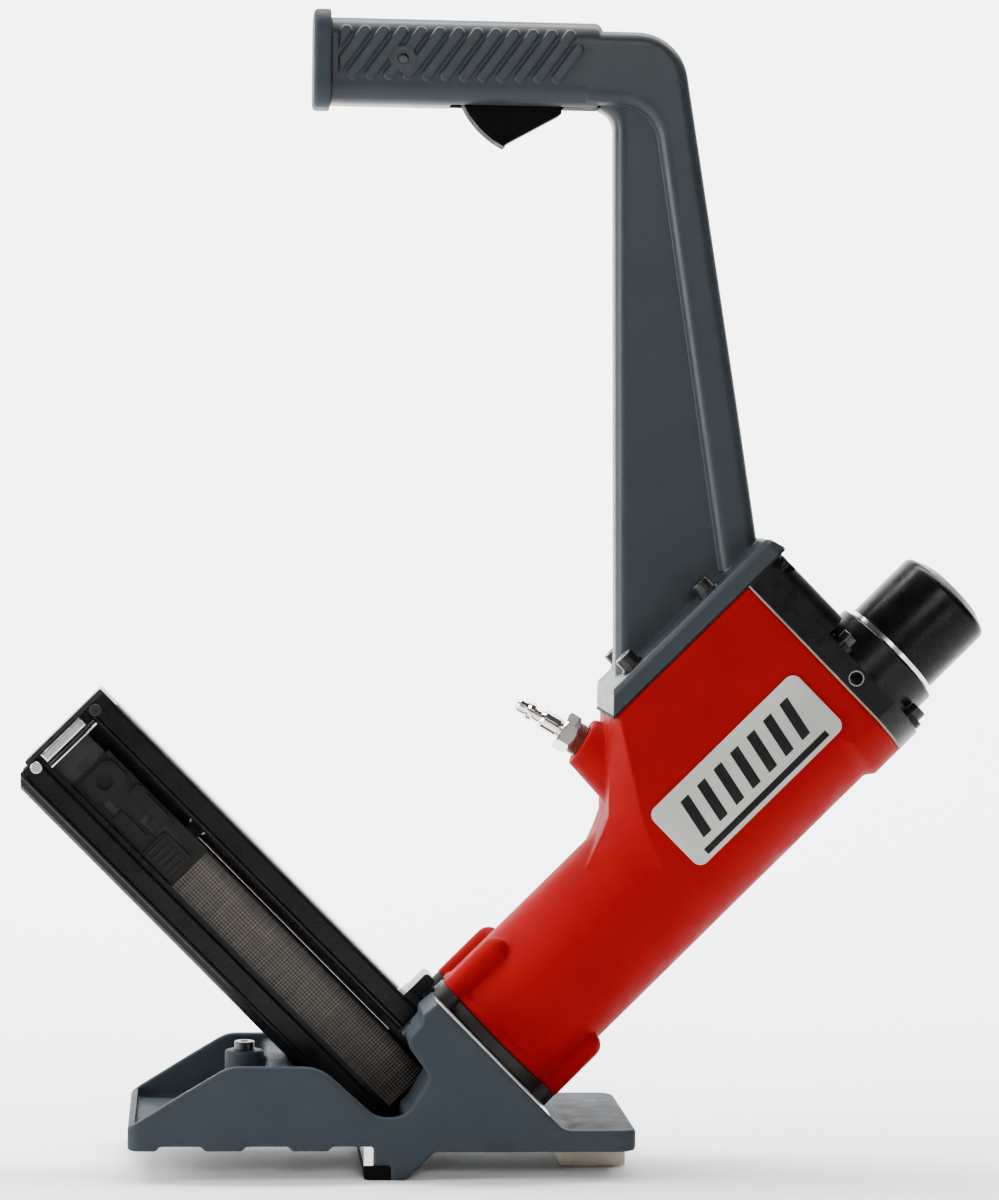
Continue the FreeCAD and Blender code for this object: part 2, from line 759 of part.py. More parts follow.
def head_collar():
    """The collar round the striking cap: a flanged ring with an ear for each of its screws."""
    shift, tall = -size("strike_out"), size("collar_up")
    tube = Part.makeCylinder(size("collar_r"), tall, Vector(shift, 0, HEAD_TOP))
    tube = tube.makeFillet(1.0, [e for e in tube.Edges if e.BoundBox.ZMin > HEAD_TOP + tall - 0.1])
    flange = Part.makeCylinder(size("collar_r") + 3.5, EAR_THICK, Vector(shift, 0, HEAD_TOP))
    body = tube.fuse(flange)
    for out, across in HEAD_SCREWS[2:]:
        body = body.fuse(Part.makeCylinder(6.4, EAR_THICK, Vector(-out, across, HEAD_TOP)))
    body = body.common(block((-31.3, 60), (-size("half_width") + 0.4, size("half_width") - 0.4), (0, 400)))
    for out, across in HEAD_SCREWS[2:]:
        body = body.cut(Part.makeCylinder(2.7, 9, Vector(-out, across, HEAD_TOP - 1)))
        body = body.cut(Part.makeCylinder(4.7, 7.5, Vector(-out, across, HEAD_TOP + EAR_THICK)))
    body = body.cut(Part.makeCylinder(size("collar_bore_r"), tall, Vector(shift, 0, HEAD_TOP + 6.0)))
    body = body.cut(Part.makeCylinder(size("stem_r") + 4.2, 10, Vector(shift, 0, HEAD_TOP - 1)))
    return body.removeSplitter()


piece("head_collar", solid("Collar", head_collar(), DRIVE))

bushing_at = ("-6.2", "housing_top + gasket_thick + 6")
bushing = rod("BushingBlank", "3.9", "-half_width + 0.1", "-half_width + 12", bushing_at, "y")
bushing_bore = rod("BushingBore", "3.3", "-half_width - 1", "-half_width + 13", bushing_at, "y")
piece("head_bushing", cut("HeadBushing", bushing, bushing_bore), DRIVE)

STRIKE = Placement(DRIVE.multVec(Vector(-size("strike_out"), 0, 0)), DRIVE.Rotation)
CAP = [
    ("stem_r + 0.05", "cap_up + 6"),
    ("cap_r - 4.5", "cap_up + 6"),
    ("cap_r - 4.5", "cap_up"),
    ("cap_r - 0.6", "cap_up"),
    ("cap_r", "cap_up + 0.6"),
    ("cap_r", "cap_up + cap_side - 1.5"),
    ("cap_r - 1.2", "cap_up + cap_side + 1.2"),
    ("cap_r - 4.2", "cap_up + cap_side + 3.2"),
    ("cap_r - 10", "cap_up + cap_side + 5"),
    ("0", "cap_up + cap_side + cap_dome"),
    ("0", "cap_up + cap_side - 8"),
    ("stem_r + 0.05", "cap_up + cap_side - 8"),
]
piece("strike_cap", turned("StrikeCap", CAP), STRIKE)
STEM = [
    ("0", "housing_top - 18"),
    ("stem_r - 1", "housing_top - 18"),
    ("stem_r", "housing_top - 17"),
    ("stem_r", "cap_up + 5.9"),
    ("stem_r", "cap_up + cap_side - 8.1"),
    ("0", "cap_up + cap_side - 8.1"),
]
piece("strike_stem", turned("StrikeStem", STEM), STRIKE)
WASHER = [
    ("stem_r + 0.1", "cap_up - 2.0"),
    ("cap_r + 0.4", "cap_up - 2.0"),
    ("cap_r + 0.4", "cap_up - 0.05"),
    ("stem_r + 0.1", "cap_up - 0.05"),
]
piece("strike_washer", turned("StrikeWasher", WASHER), STRIKE)
spring_low = HEAD_TOP - 6.9
piece("strike_spring", coil_spring("StrikeSpring", 7.2, 0.9, spring_low, size("cap_up") - 2.1, 6), STRIKE)

VALVE = [
    ("0", "sleeve_top + 0.1"),
    ("28.4", "sleeve_top + 0.1"),
    ("29.6", "sleeve_top + 1.3"),
    ("29.6", "sleeve_top + 7"),
    ("14", "sleeve_top + 12"),
    ("11.9", "sleeve_top + 16"),
    ("11.9", "housing_top - 40"),
    ("0", "housing_top - 40"),
]
piece("head_valve", turned("HeadValve", VALVE), DRIVE)
valve_spring_low = size("sleeve_top") + 11.2
valve_spring_top = size("housing_top") + size("gasket_thick") - 24
piece("valve_spring", coil_spring("ValveSpring", 17.0, 1.4, valve_spring_low, valve_spring_top, 6.5), DRIVE)

# ---------------------------------------------------------------- badge, inlet plug


def badge():
    """The plate on the side, with round corners."""
    plate = block((-31, 6.8), (-size("half_width") - 0.9, -size("half_width")), (220, 321))
    return plate.makeFillet(5, [e for e in plate.Edges if e.BoundBox.YLength > 0.5])


piece("badge_plate", solid("Badge", badge(), DRIVE))

BUSHING = [("4.6", "-10"), ("8", "-10"), ("8", "0.1"), ("8.6", "0.2"), ("8.1", "4.6"), ("4.6", "4.6")]
piece("inlet_bushing", turned("InletBushing", BUSHING), INLET)
PLUG = [
    ("2.3", "-9"),
    ("4.4", "-9"),
    ("4.5", "4.8"),
    ("8.6", "4.8"),
    ("8.6", "12.4"),
    ("4.6", "12.4"),
    ("4.6", "13.4"),
    ("5.0", "13.8"),
    ("5.0", "22.4"),
    ("3.3", "24.2"),
    ("3.3", "27.6"),
    ("4.9", "28.6"),
    ("4.9", "31.0"),
    ("3.5", "32.2"),
    ("3.7", "33.2"),
    ("3.7", "36.6"),
    ("3.0", "37.3"),
    ("2.3", "37.3"),
]


def air_plug():
    """The steel plug for the air hose, with a hexagon for the spanner."""
    body = turned("PlugBody", PLUG)
    doc.recompute()
    hexagon = hexagon_bar(10, 7.6)
    hexagon.translate(Vector(0, 0, 4.8))
    bevel = Part.makeCone(8.6, 11.8, 2.6, Vector(0, 0, 4.8))
    bevel = bevel.fuse(Part.makeCylinder(11.8, 2.4, Vector(0, 0, 7.4)))
    bevel = bevel.fuse(Part.makeCone(11.8, 8.6, 2.6, Vector(0, 0, 9.8)))
    hexagon = hexagon.common(bevel).cut(Part.makeCylinder(4.0, 12, Vector(0, 0, 3)))
    return solid("AirPlug", body.Shape.fuse(hexagon).removeSplitter(), INLET)


piece("air_plug", air_plug())

# ---------------------------------------------------------------- handle

FLANGE_LOW = size("reservoir_out") + size("flange_gasket")
FLANGE_TOP = FLANGE_LOW + size("flange_thick")


def flange_outline(low, high):
    """The side of the handle's flange between two distances out from the drive line."""
    wall = size("wall_x")
    line_low, line_high = low * ROOT_2 - size("axis_x"), high * ROOT_2 - size("axis_x")
    end = size("flange_end")
    return [
        (wall, wall + line_low, 0),
        (wall, wall + line_high, 1.5),
        (point(high, end).x, point(high, end).z, 3),
        (point(low, end + 3).x, point(low, end + 3).z, 0),
    ]


def flange_shape(low, high, bevel=0):
    """A flange plate, in the tool's frame, with round corners at its top and a bevel round its face."""
    half = size("half_width")
    plate = slab(flange_outline(low, high), -half, half)
    keep = block((-high, -low + 5), (-half, half), (100, size("flange_end") + 5))
    keep = keep.makeFillet(9, [e for e in keep.Edges if e.BoundBox.XLength > 5 and e.BoundBox.ZMin > 300])
    if bevel:
        keep = keep.makeChamfer(bevel, [e for e in keep.Edges if e.BoundBox.XMax < -high + 0.01])
    return plate.common(in_drive_frame(keep))


SPINE = [
    (34, 527.6, 0),
    (67.5, 527.6, 20),
    (104.6, 297.0, 0),
    (125.5, 297.0, 0),
    (111.5, 382.7, 200),
    (81.0, size("shoulder_z"), 26),
    (34, size("shoulder_z"), 0),
]
WEB = [
    (30, 525.5, 0),
    (48.8, 525.5, 10),
    (53.6, 228.0, 0),
    (118.0, 290.0, 0),
    (77.0, 540.0, 0),
    (30, 540.0, 0),
]


def grip_bar():
    """The grip: a rounded bar with diagonal ribs on both sides."""
    low, high, half = size("grip_low"), size("grip_high"), size("grip_half")
    bar_shape = block((size("grip_start"), size("grip_end")), (-half, half), (low, high))
    lengthwise = [e for e in bar_shape.Edges if e.BoundBox.XLength > 50]
    bar_shape = bar_shape.makeFillet(size("grip_round"), lengthwise)
    end = [e for e in bar_shape.Edges if e.BoundBox.XMin > size("grip_end") - 0.1]
    return bar_shape.makeFillet(4, end)


def grip_rib(low_x, step, side):
    """One raised rib on a side of the grip, leaning to the rear."""
    lean, wide = math.radians(size("rib_angle")), size("rib_half")
    depth = size("grip_half") + size("rib_proud")
    start = Vector(low_x, 0, 537.5)
    finish = start + Vector(math.cos(lean), 0, math.sin(lean)) * step
    across = Vector(-math.sin(lean), 0, math.cos(lean)) * wide
    corners = [start + across, finish + across, finish - across, start - across]
    outline = [(c.x, c.z, wide * 0.98) for c in corners]
    y = (0, depth) if side > 0 else (-depth, 0)
    return slab(outline, *y)


def handle():
    """The cast handle: a grip, a column with a thick spine and a thin web, and a flange on the housing."""
    spine = slab(SPINE, -size("spine_half"), size("spine_half"))
    outside = [e for e in spine.Edges if e.BoundBox.YLength < 0.01 and e.BoundBox.ZMin > 298]
    spine = spine.makeFillet(6.5, [e for e in outside if e.BoundBox.XMin > 34.5 or e.BoundBox.XLength > 10])
    web = slab(WEB, -size("web_half"), size("web_half"))
    upright = [e for e in web.Edges if e.BoundBox.YLength < 0.01 and e.BoundBox.ZLength > 100]
    web = web.makeFillet(7, [e for e in upright if 44 < e.BoundBox.XMax < 54])
    body = grip_bar().fuse([spine, web])
    band = in_drive_frame(block((-FLANGE_TOP + 1, 200), (-60, 60), (100, 420)))
    body = body.cut(band)
    body = body.fuse(flange_shape(FLANGE_LOW, FLANGE_TOP, 2.6))
    rib_z = (size("grip_low") + 3.5, size("grip_high") - 3.5)
    limits = block((size("grip_start") + 4, 40), (-30, 30), rib_z)
    for i in range(-2, 12):
        step = 31.0 if i < 11 else 22.0
        for side in (1, -1):
            rib = grip_rib(-83.6 + size("rib_pitch") * i, step, side).common(limits)
            body = body.fuse(rib)
    for side in (1, -1):
        outer = size("grip_half") + size("rib_proud")
        start = Vector(-56.9, 0, 547.4)
        aim = Vector(0, side, 0)
        body = body.cut(Part.makeCylinder(6.6, 5, start + aim * size("grip_half"), aim))
        body = body.fuse(Part.makeCylinder(6.3, outer - 0.2, start, aim))

    middle = (size("grip_low") + size("grip_high")) / 2
    body = body.cut(bar(size("grip_bore_r"), Vector(-100, 0, middle), Vector(-34, 0, middle)))
    body = body.cut(bar(3.0, Vector(-60, 0, 558), Vector(78, 0, 558)))
    body = body.cut(bar(5.5, Vector(78, 0, 558), Vector(113.0, 0, 301)))
    body = body.cut(bar(5.5, Vector(113.0, 0, 301), Vector(120.0, 0, 270)))
    body = body.cut(bar(2.5, Vector(-56.9, -30, 547.4), Vector(-56.9, 30, 547.4)))
    body = body.cut(trigger_pocket())
    pivot = Vector(size("trigger_x"), 0, size("trigger_z"))
    body = body.cut(bar(2.55, pivot - ACROSS * 14, pivot + ACROSS * 30))
    for up, across in FLANGE_SCREWS:
        start = Vector(-FLANGE_TOP - 2, across, up)
        hole = Part.makeCylinder(3.15, 20, start, Vector(1, 0, 0))
        body = body.cut(in_drive_frame(hole))
        relief = Part.makeCylinder(6.6, 30, Vector(-FLANGE_TOP - 30, across, up), Vector(1, 0, 0))
        body = body.cut(in_drive_frame(relief))
    return body.removeSplitter()


def trigger_pocket():
    """The room in the grip for the trigger and its valve."""
    half = size("trigger_half") + 0.6
    pocket = block((-33, 41.5), (-half, half), (520, 552.4))
    pocket = pocket.cut(block((24, 60), (-20, 20), (531, 560)))
    pocket = pocket.fuse(Part.makeCylinder(7.1, 8, Vector(-12, 0, 551)))
    return pocket


piece("handle", solid("Handle", handle()))

gasket_shape = flange_shape(size("reservoir_out"), FLANGE_LOW)
for up, across in FLANGE_SCREWS:
    gasket_hole = Part.makeCylinder(3.15, 20, Vector(-FLANGE_TOP, across, up), Vector(1, 0, 0))
    gasket_shape = gasket_shape.cut(in_drive_frame(gasket_hole))
gasket_shape = gasket_shape.cut(in_drive_frame(block((-95, -60), (-20, 20), (274, 310))))
piece("flange_gasket", solid("FlangeGasket", gasket_shape))

WASHER_TOP = FLANGE_TOP + 1.5
OUTWARD = Rotation(ACROSS, -90)


def washers():
    """A washer under each screw of the flange."""
    made = []
    for up, across in FLANGE_SCREWS:
        disc = Part.makeCylinder(6.3, 1.5).cut(Part.makeCylinder(3.2, 1.5))
        disc.Placement = Placement(Vector(-FLANGE_TOP, across, up), OUTWARD)
        made.append(disc)
    return solid("FlangeWashers", Part.makeCompound(made), DRIVE)


piece("flange_washers", washers())
flange_places = [Vector(-WASHER_TOP, across, up) for up, across in FLANGE_SCREWS]
piece("flange_screws", screws("FlangeScrews", flange_places, 22, OUTWARD), DRIVE)


def end_cap():
    """The cap on the front end of the grip, with a plug that fills the bore."""
    low, high, half = size("grip_low"), size("grip_high"), size("grip_half")
    start = size("grip_start")
    rim = block((start - 8.5, start), (-half - 2.6, half + 2.6), (low - 2.4, high + 3.9))
    rim = rim.makeFillet(12, [e for e in rim.Edges if e.BoundBox.XLength > 5])
    rim = rim.makeFillet(2.2, [e for e in rim.Edges if e.BoundBox.XMax < start - 8])
    middle = (low + high) / 2
    plug = bar(size("grip_bore_r") - 0.1, Vector(start - 1, 0, middle), Vector(-44, 0, middle))
    hollow = bar(size("grip_bore_r") - 3, Vector(start + 6, 0, middle), Vector(-40, 0, middle))
    pin = bar(2.55, Vector(-56.9, -30, 547.4), Vector(-56.9, 30, 547.4))
    return rim.fuse(plug).cut(hollow).cut(pin).removeSplitter()


piece("handle_end_cap", solid("EndCap", end_cap()))
cap_pin = bar(2.45, Vector(-56.9, -14.5, 547.4), Vector(-56.9, 14.5, 547.4))
piece("end_cap_pin", solid("EndCapPin", cap_pin))

# ---------------------------------------------------------------- trigger


def trigger():
    """The trigger: a sector about its pin, hollow above."""
    x, z, half = size("trigger_x"), size("trigger_z"), size("trigger_half")
    reach = size("trigger_reach") + 0.6
    disc = bar(reach, Vector(x, -half, z), Vector(x, half, z))
    side = [
        (-45, 541, 0),
        (-45, 500, 0),
        (-5.7, 500, 0),
        (-5.7, 507.2, 2),
        (22.2, 522.7, 1),
        (22.2, 531.0, 0),
        (14, 541, 0),
    ]
    body = disc.common(slab(side, -half, half))
    hub = bar(5.5, Vector(x, -half, z), Vector(x, half, z))
    arm = slab([(8.5, 528, 0), (19.5, 528, 0), (19.5, 546, 0), (8.5, 546, 0)], -half, half)
    body = body.fuse([hub, arm])
    room = slab([(-26.5, 560, 0), (-26.5, 530, 2), (5, 530, 2), (5, 560, 0)], -half + 2, half - 2)
    body = body.cut(room)
    body = body.cut(bar(2.6, Vector(x, -20, z), Vector(x, 20, z)))
    return body.removeSplitter()


piece("trigger", solid("Trigger", trigger()))
cover_y = ("-trigger_half", "trigger_half")
cover = box("CoverPlate", ("23.6", "41.3"), cover_y, ("grip_low + 0.5", "grip_low + 4.8"))
cover_step = box("CoverStep", ("26", "41.3"), ("-6", "6"), ("grip_low + 4.5", "grip_low + 5.4"))
piece("slot_cover", join("SlotCover", [cover, cover_step]))
pin = rod("TriggerPin", "2.5", "-13.5", "16.5", ("trigger_x", "trigger_z"), "y")
piece("trigger_pin", pin)

TRIGGER_VALVE = Placement(Vector(-12, 0, 0), Rotation())
VALVE_BODY = [
    ("2.6", "543"),
    ("6.2", "543"),
    ("6.2", "551"),
    ("7.0", "552"),
    ("7.0", "558.5"),
    ("2.6", "558.5"),
]
piece("trigger_valve_body", turned("TriggerValveBody", VALVE_BODY), TRIGGER_VALVE)
VALVE_STEM = [("0", "530.3"), ("2.2", "530.3"), ("2.5", "530.9"), ("2.5", "552.5"), ("0", "552.5")]
piece("trigger_valve_stem", turned("TriggerValveStem", VALVE_STEM), TRIGGER_VALVE)
piece("trigger_spring", coil_spring("TriggerSpring", 4.7, 0.6, 530.4, 542.8, 5), TRIGGER_VALVE)

# ---------------------------------------------------------------- magazine

MAG_FRONT = size("blade_out") + size("blade_thick") / 2 + 0.35
END_SCREWS = [(256.5, 21.5), (256.5, 62.0)]


def magazine_section():
    """The magazine's outline, square to its length: a low ridge on each side, grooves by the window."""
    low, high, half = size("mag_low"), size("mag_high"), size("mag_half")
    proud = half + size("mag_ridge")
    foot = [(low, 7.5), (low + 0.6, 10.2), (low + 2, 12), (low + 4.4, half - 0.2), (low + 5.2, proud)]
    foot += [(low + 6.2, proud), (low + 7, half)]
    crest = [(high - 1.8, half), (high - 0.6, half - 0.6), (high, half - 1.6)]
    window_low, window_high = size("window_low"), size("window_high")
    recess = [(window_low - 1.8, half), (window_low - 0.8, half - 0.8), (window_low - 0.4, half - 1.8)]
    recess += [(window_high, half - 1.8), (window_high + 0.7, half - 1), (window_high + 1.1, half - 0.1)]
    recess += [(window_high + 2.1, half), (window_high + 2.7, half - 0.6), (window_high + 3.3, half)]
    near = [(up, -across) for up, across in [*foot, *recess, *crest]]
    return near + [*reversed(crest), *reversed(foot)]


def magazine_channel():
    """The magazine: a long box, open along the near side over the strip, and cut back at both ends."""
    low, high, half, wall = size("mag_low"), size("mag_high"), size("mag_half"), size("mag_wall")
    end = size("mag_end")
    corners = [Vector(-end, across, up) for up, across in magazine_section()]
    body = Part.Face(Part.makePolygon([*corners, corners[0]])).extrude(Vector(end - MAG_FRONT, 0, 0))
    room = block((-end - 5, 0), (-half + wall, half - wall), (low + wall, high - wall))
    window_low, window_high = size("window_low"), size("window_high")
    for edge in ((window_low - 2, window_low + 2), (window_high, window_high + 2.5)):
        room = room.cut(block((-end - 5, 0), (-half, -half + wall + 1.2), edge))
    body = body.cut(room)
    window_x = (-254, -MAG_FRONT - 3)
    body = body.cut(block(window_x, (-half - 5, -half + wall + 2), (window_low + 2, window_high)))
    corner = [(-end - 5, low - 5, 0), (-end + 11, low - 5, 0), (-end - 5, low + 11, 0)]
    body = body.cut(slab(corner, -30, 30))
    for out, up in END_SCREWS:
        body = body.cut(Part.makeCylinder(1.65, 6, Vector(-out, -half - 2, up), ACROSS))
    body = in_drive_frame(body)
    return body.cut(block((-200, 100), (-60, 60), (-20, 19)))


piece("magazine_channel", solid("MagazineChannel", magazine_channel()))

RAIL_HALF = size("crown_half") - size("wire") - 0.25


def magazine_rail():
    """The rail that the staples ride on."""
    start = MAG_FRONT
    body = block((-252, -start), (-RAIL_HALF, RAIL_HALF), (17, size("crown_top") - size("wire") - 0.3))
    body = body.cut(block((-246, -start - 6), (-RAIL_HALF + 1.2, RAIL_HALF - 1.2), (17, 47)))
    foot_half = size("mag_half") - size("mag_wall") - 0.1
    foot = block((-252, -60), (-foot_half, foot_half), (10.5, 12.5))
    post = block((-252, -60), (-2, 2), (12, 18))
    return solid("MagazineRail", body.fuse([foot, post]).removeSplitter(), DRIVE)


piece("magazine_rail", magazine_rail())

staple_x = ("-strip_end", "-strip_start")
outside = box("StripOutside", staple_x, ("-crown_half", "crown_half"), ("leg_tip", "crown_top"))
inside_x = ("-strip_end - 1", "-strip_start + 1")
inside_y = ("-crown_half + wire", "crown_half - wire")
inside = box("StripInside", inside_x, inside_y, ("leg_tip - 1", "crown_top - wire"))
piece("staple_strip", cut("StapleStrip", outside, inside), DRIVE)


def pusher():
    """The pusher: a saddle over the rail behind the strip, with a finger grip through the window."""
    start, end = size("strip_end") + 0.3, size("strip_end") + size("pusher_long")
    half = size("crown_half")
    saddle = block((-end, -start), (-half, half), (27.5, size("crown_top") + 0.2))
    under = (20, size("crown_top") - size("wire") + 0.1)
    saddle = saddle.cut(block((-end - 1, -start + 1), (-half + 1.3, half - 1.3), under))
    slot = block((-start - 34, -start - 10), (-half - 1, 0), (38, 46))
    saddle = saddle.cut(slot)
    notch = block((-start - 62, -start - 44), (-half - 1, 0), (31, 35))
    saddle = saddle.cut(notch)
    pads = block((-start - 22, -start - 3), (-half - 2.4, -half + 0.2), (28, 44))
    pads = pads.makeFillet(2, [e for e in pads.Edges if e.BoundBox.YLength > 2])
    hook = block((-end + 2, -end + 18), (-half - 3.2, -half + 0.2), (30, 50))
    hook = hook.makeFillet(5, [e for e in hook.Edges if e.BoundBox.YLength > 2])
    hook = hook.cut(Part.makeCylinder(4.0, 3, Vector(-end + 10, -half - 3.4, 40), ACROSS))
    bridge = block((-start - 44, -start - 26), (-half - 2.0, -half + 0.2), (29, 36))
    return solid("Pusher", saddle.fuse([pads, hook, bridge]).removeSplitter(), DRIVE)


piece("pusher", pusher())

START = size("strip_end") + 0.3
LATCH_PIVOT = (START + 44.0, 48.0)


def pusher_latch():
    """The latch on the pusher: a small lever on a cross pin."""
    out, up = LATCH_PIVOT
    lever = block((-out - 4, -out + 20), (-10.2, -8.6), (up - 3, up + 2.6))
    lever = lever.fuse(block((-out + 13, -out + 20), (-10.2, -8.6), (up - 8, up)))
    lever = lever.fuse(Part.makeCylinder(4, 1.6, Vector(-out, -10.2, up), ACROSS))
    lever = lever.cut(Part.makeCylinder(1.3, 5, Vector(-out, -12, up), ACROSS))
    return solid("PusherLatch", lever.removeSplitter(), DRIVE)


piece("pusher_latch", pusher_latch())
latch_pin = Part.makeCylinder(1.2, 4.3, Vector(-LATCH_PIVOT[0], -10.7, LATCH_PIVOT[1]), ACROSS)
latch_head = Part.makeCylinder(2.2, 0.5, Vector(-LATCH_PIVOT[0], -10.8, LATCH_PIVOT[1]), ACROSS)
latch_stop = Part.makeCylinder(2.0, 2.0, Vector(-LATCH_PIVOT[0], -8.4, LATCH_PIVOT[1]), ACROSS)
piece("latch_pin", solid("LatchPin", latch_pin.fuse([latch_head, latch_stop]), DRIVE))

roll_up = size("crown_top") + 6.6
feed_roll = Part.makeCylinder(5.4, 10, Vector(-START - 12, -5, roll_up), ACROSS)
feed_roll = feed_roll.cut(Part.makeCylinder(3.0, 10, Vector(-START - 12, -5, roll_up), ACROSS))
feed_band = block((-START - 12, -40), (-4.5, 4.5), (roll_up - 5.4, roll_up - 5.1))
piece("feed_spring", solid("FeedSpring", feed_roll.fuse(feed_band).removeSplitter(), DRIVE))
roller = Part.makeCylinder(2.9, 14, Vector(-START - 12, -7, roll_up), ACROSS)
cheek_x, cheek_z = (-START - 16, -START - 8), (size("crown_top") + 0.25, roll_up + 3)
cheeks = [block(cheek_x, (y, y + 1.0), cheek_z) for y in (-7.2, 6.2)]
piece("feed_roller", solid("FeedRoller", roller.fuse(cheeks), DRIVE))


def magazine_end():
    """The plate that closes the upper end of the magazine, with a plug that its two screws go through."""
    low, high, half, wall = size("mag_low"), size("mag_high"), size("mag_half"), size("mag_wall")
    end = size("mag_end")
    plug_y = (-half + wall + 1.3, half - wall - 0.1)
    plug = block((-end + 0.2, -end + 6.5), plug_y, (low + 12, high - wall - 0.2))
    lid = block((-end - 2.6, -end - 0.05), (-half, half), (low + 11, high))
    outer = [e for e in lid.Edges if e.BoundBox.XMax < -end - 2.5]
    lid = lid.makeFillet(1.2, outer)
    plug = plug.fuse(block((-end - 0.1, -end + 0.3), (-6, 6), (low + 14, high - 6)))
    for out, up in END_SCREWS:
        plug = plug.cut(Part.makeCylinder(1.65, 5, Vector(-out, -half, up), ACROSS))
    return solid("MagazineEnd", plug.fuse(lid).removeSplitter(), DRIVE)


piece("magazine_end", magazine_end())
BAR_SEAT = -size("mag_half") + 1.78
end_bar = block((-size("mag_end") + 0.4, -size("mag_end") + 5.6), (BAR_SEAT - 2.4, BAR_SEAT), (27, 54))
end_bar = end_bar.makeFillet(1.0, [e for e in end_bar.Edges if e.BoundBox.YMax < BAR_SEAT - 2.3])
piece("magazine_end_bar", solid("EndBar", end_bar, DRIVE))
NEAR = Rotation(Vector(1, 0, 0), 90)
END_SCREW = {"radius": 1.6, "head_r": 2.9, "head_h": 1.8}
for label, (out, up) in zip(("magazine_end_screw", "magazine_top_screw"), END_SCREWS):
    place = Vector(-out, -size("mag_half") - 0.02, up)
    piece(label, screws(label.title().replace("_", ""), [place], 2.2, NEAR, **END_SCREW), DRIVE)


def bracket():
    """The block that ties the magazine to the foot of the housing."""
    top = size("mag_high") + 0.05
    base = block((-48, -34), (-12, 12), (top, top + 4))
    post = block((-47.6, -41.0), (-10, 10), (top + 3, 87))
    post = post.makeFillet(2, [e for e in post.Edges if e.BoundBox.YLength > 15 and e.BoundBox.ZMin > 80])
    body = base.fuse(post)
    for across in (6.5, -6.5):
        body = body.cut(Part.makeCylinder(1.7, 9, Vector(-37.5, across, top - 2)))
    return solid("Bracket", body.removeSplitter(), DRIVE)


piece("magazine_bracket", bracket())
bracket_screws = screws(
    "BracketScrews",
    [Vector(-37.5, 6.5, size("mag_high") + 4.1), Vector(-37.5, -6.5, size("mag_high") + 4.1)],
    4.0,
    radius=1.6,
    head_r=2.6,
    head_h=2.4,
)
piece("bracket_screws", bracket_screws, DRIVE)

label = block((-251, -52), (-9, 9), (size("mag_high") + 0.02, size("mag_high") + 0.9))
piece("magazine_label", solid("MagazineLabel", label, DRIVE))

housing_places = [Vector(-out, across, HOUSING_SCREW_SEAT - 0.05) for out, across in HOUSING_SCREWS]
housing_screws = screws("HousingScrews", housing_places, 44, Rotation(Vector(1, 0, 0), 180))
piece("housing_screws", housing_screws, DRIVE)

# ---------------------------------------------------------------- writing

doc.recompute()
faults = [item.Name for item in doc.Objects if {"Invalid", "Error"} & set(item.State)]
for item in pieces:
    if item.Shape.isNull() or not item.Shape.isValid() or not item.Shape.Solids:
        faults.append(item.Label)
if faults:
    raise RuntimeError("objects with faults: " + ", ".join(faults))

os.makedirs("parts", exist_ok=True)
for item in pieces:
    item.Shape.exportStep(f"parts/{item.Label}.step")
print(f"{len(pieces)} pieces written")
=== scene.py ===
"""The looks of a pneumatic flooring nailer, built round its CAD frame.

Meshes are drawn in millimetres and turned into metres as their objects are made. Lights, the floor and the
camera are in metres. Pieces that lie along the drive line are drawn in the drive frame: z runs up the drive
line, x points down and away from the magazine, y is across.
"""

import json
import math

import bmesh
import bpy
from mathutils import Matrix, Vector


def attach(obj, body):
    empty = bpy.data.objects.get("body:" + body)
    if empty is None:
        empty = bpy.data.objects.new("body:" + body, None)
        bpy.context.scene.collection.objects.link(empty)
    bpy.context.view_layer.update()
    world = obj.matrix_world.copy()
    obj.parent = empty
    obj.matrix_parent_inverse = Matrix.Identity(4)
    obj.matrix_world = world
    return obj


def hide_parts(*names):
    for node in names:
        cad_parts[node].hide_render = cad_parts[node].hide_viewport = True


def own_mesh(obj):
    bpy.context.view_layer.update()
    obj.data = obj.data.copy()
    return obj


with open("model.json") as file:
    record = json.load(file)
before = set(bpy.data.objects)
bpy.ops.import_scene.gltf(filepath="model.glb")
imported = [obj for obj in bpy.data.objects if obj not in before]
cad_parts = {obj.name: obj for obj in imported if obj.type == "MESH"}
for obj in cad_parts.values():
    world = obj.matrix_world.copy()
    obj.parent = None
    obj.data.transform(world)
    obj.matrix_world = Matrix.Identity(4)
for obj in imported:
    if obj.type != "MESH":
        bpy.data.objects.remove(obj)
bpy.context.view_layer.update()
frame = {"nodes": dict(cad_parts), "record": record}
nodes = frame["nodes"]

MM = 0.001
TO_METRES = Matrix.Scale(MM, 4)

# The frames that pieces are drawn in: the whole tool, the drive line, the striking cap and the air inlet.
TOOL = Matrix.Identity(4)
LINE_FOOT = -67.0
LINE_LEAN = 45.0
DRIVE = Matrix.Translation((LINE_FOOT, 0, 0)) @ Matrix.Rotation(math.radians(LINE_LEAN), 4, "Y")
STRIKE = DRIVE @ Matrix.Translation((2.0, 0, 0))
INLET = Matrix.Translation((37.5, 0, 210.6)) @ Matrix.Rotation(math.radians(-60), 4, "Y")

# The staples: how many there are, where the first is out along the rail, their spacing, and the most that
# one stands off the middle. Then the spacing of the rows of glue marks across them, the height in the drive
# frame above which they are plain, and how far either side of it the rows fade.
STAPLES = 104
FIRST_STAPLE = 10.4
STAPLE_PITCH = 1.51
STAPLE_LEAN = 0.04
ROW_PITCH = 1.7
PLAIN_END = 47.0
ROW_FADE = 1.5

# The pusher's front face at rest, out along the rail.
PUSHER_START = 167.6

# ---------------------------------------------------------------- materials


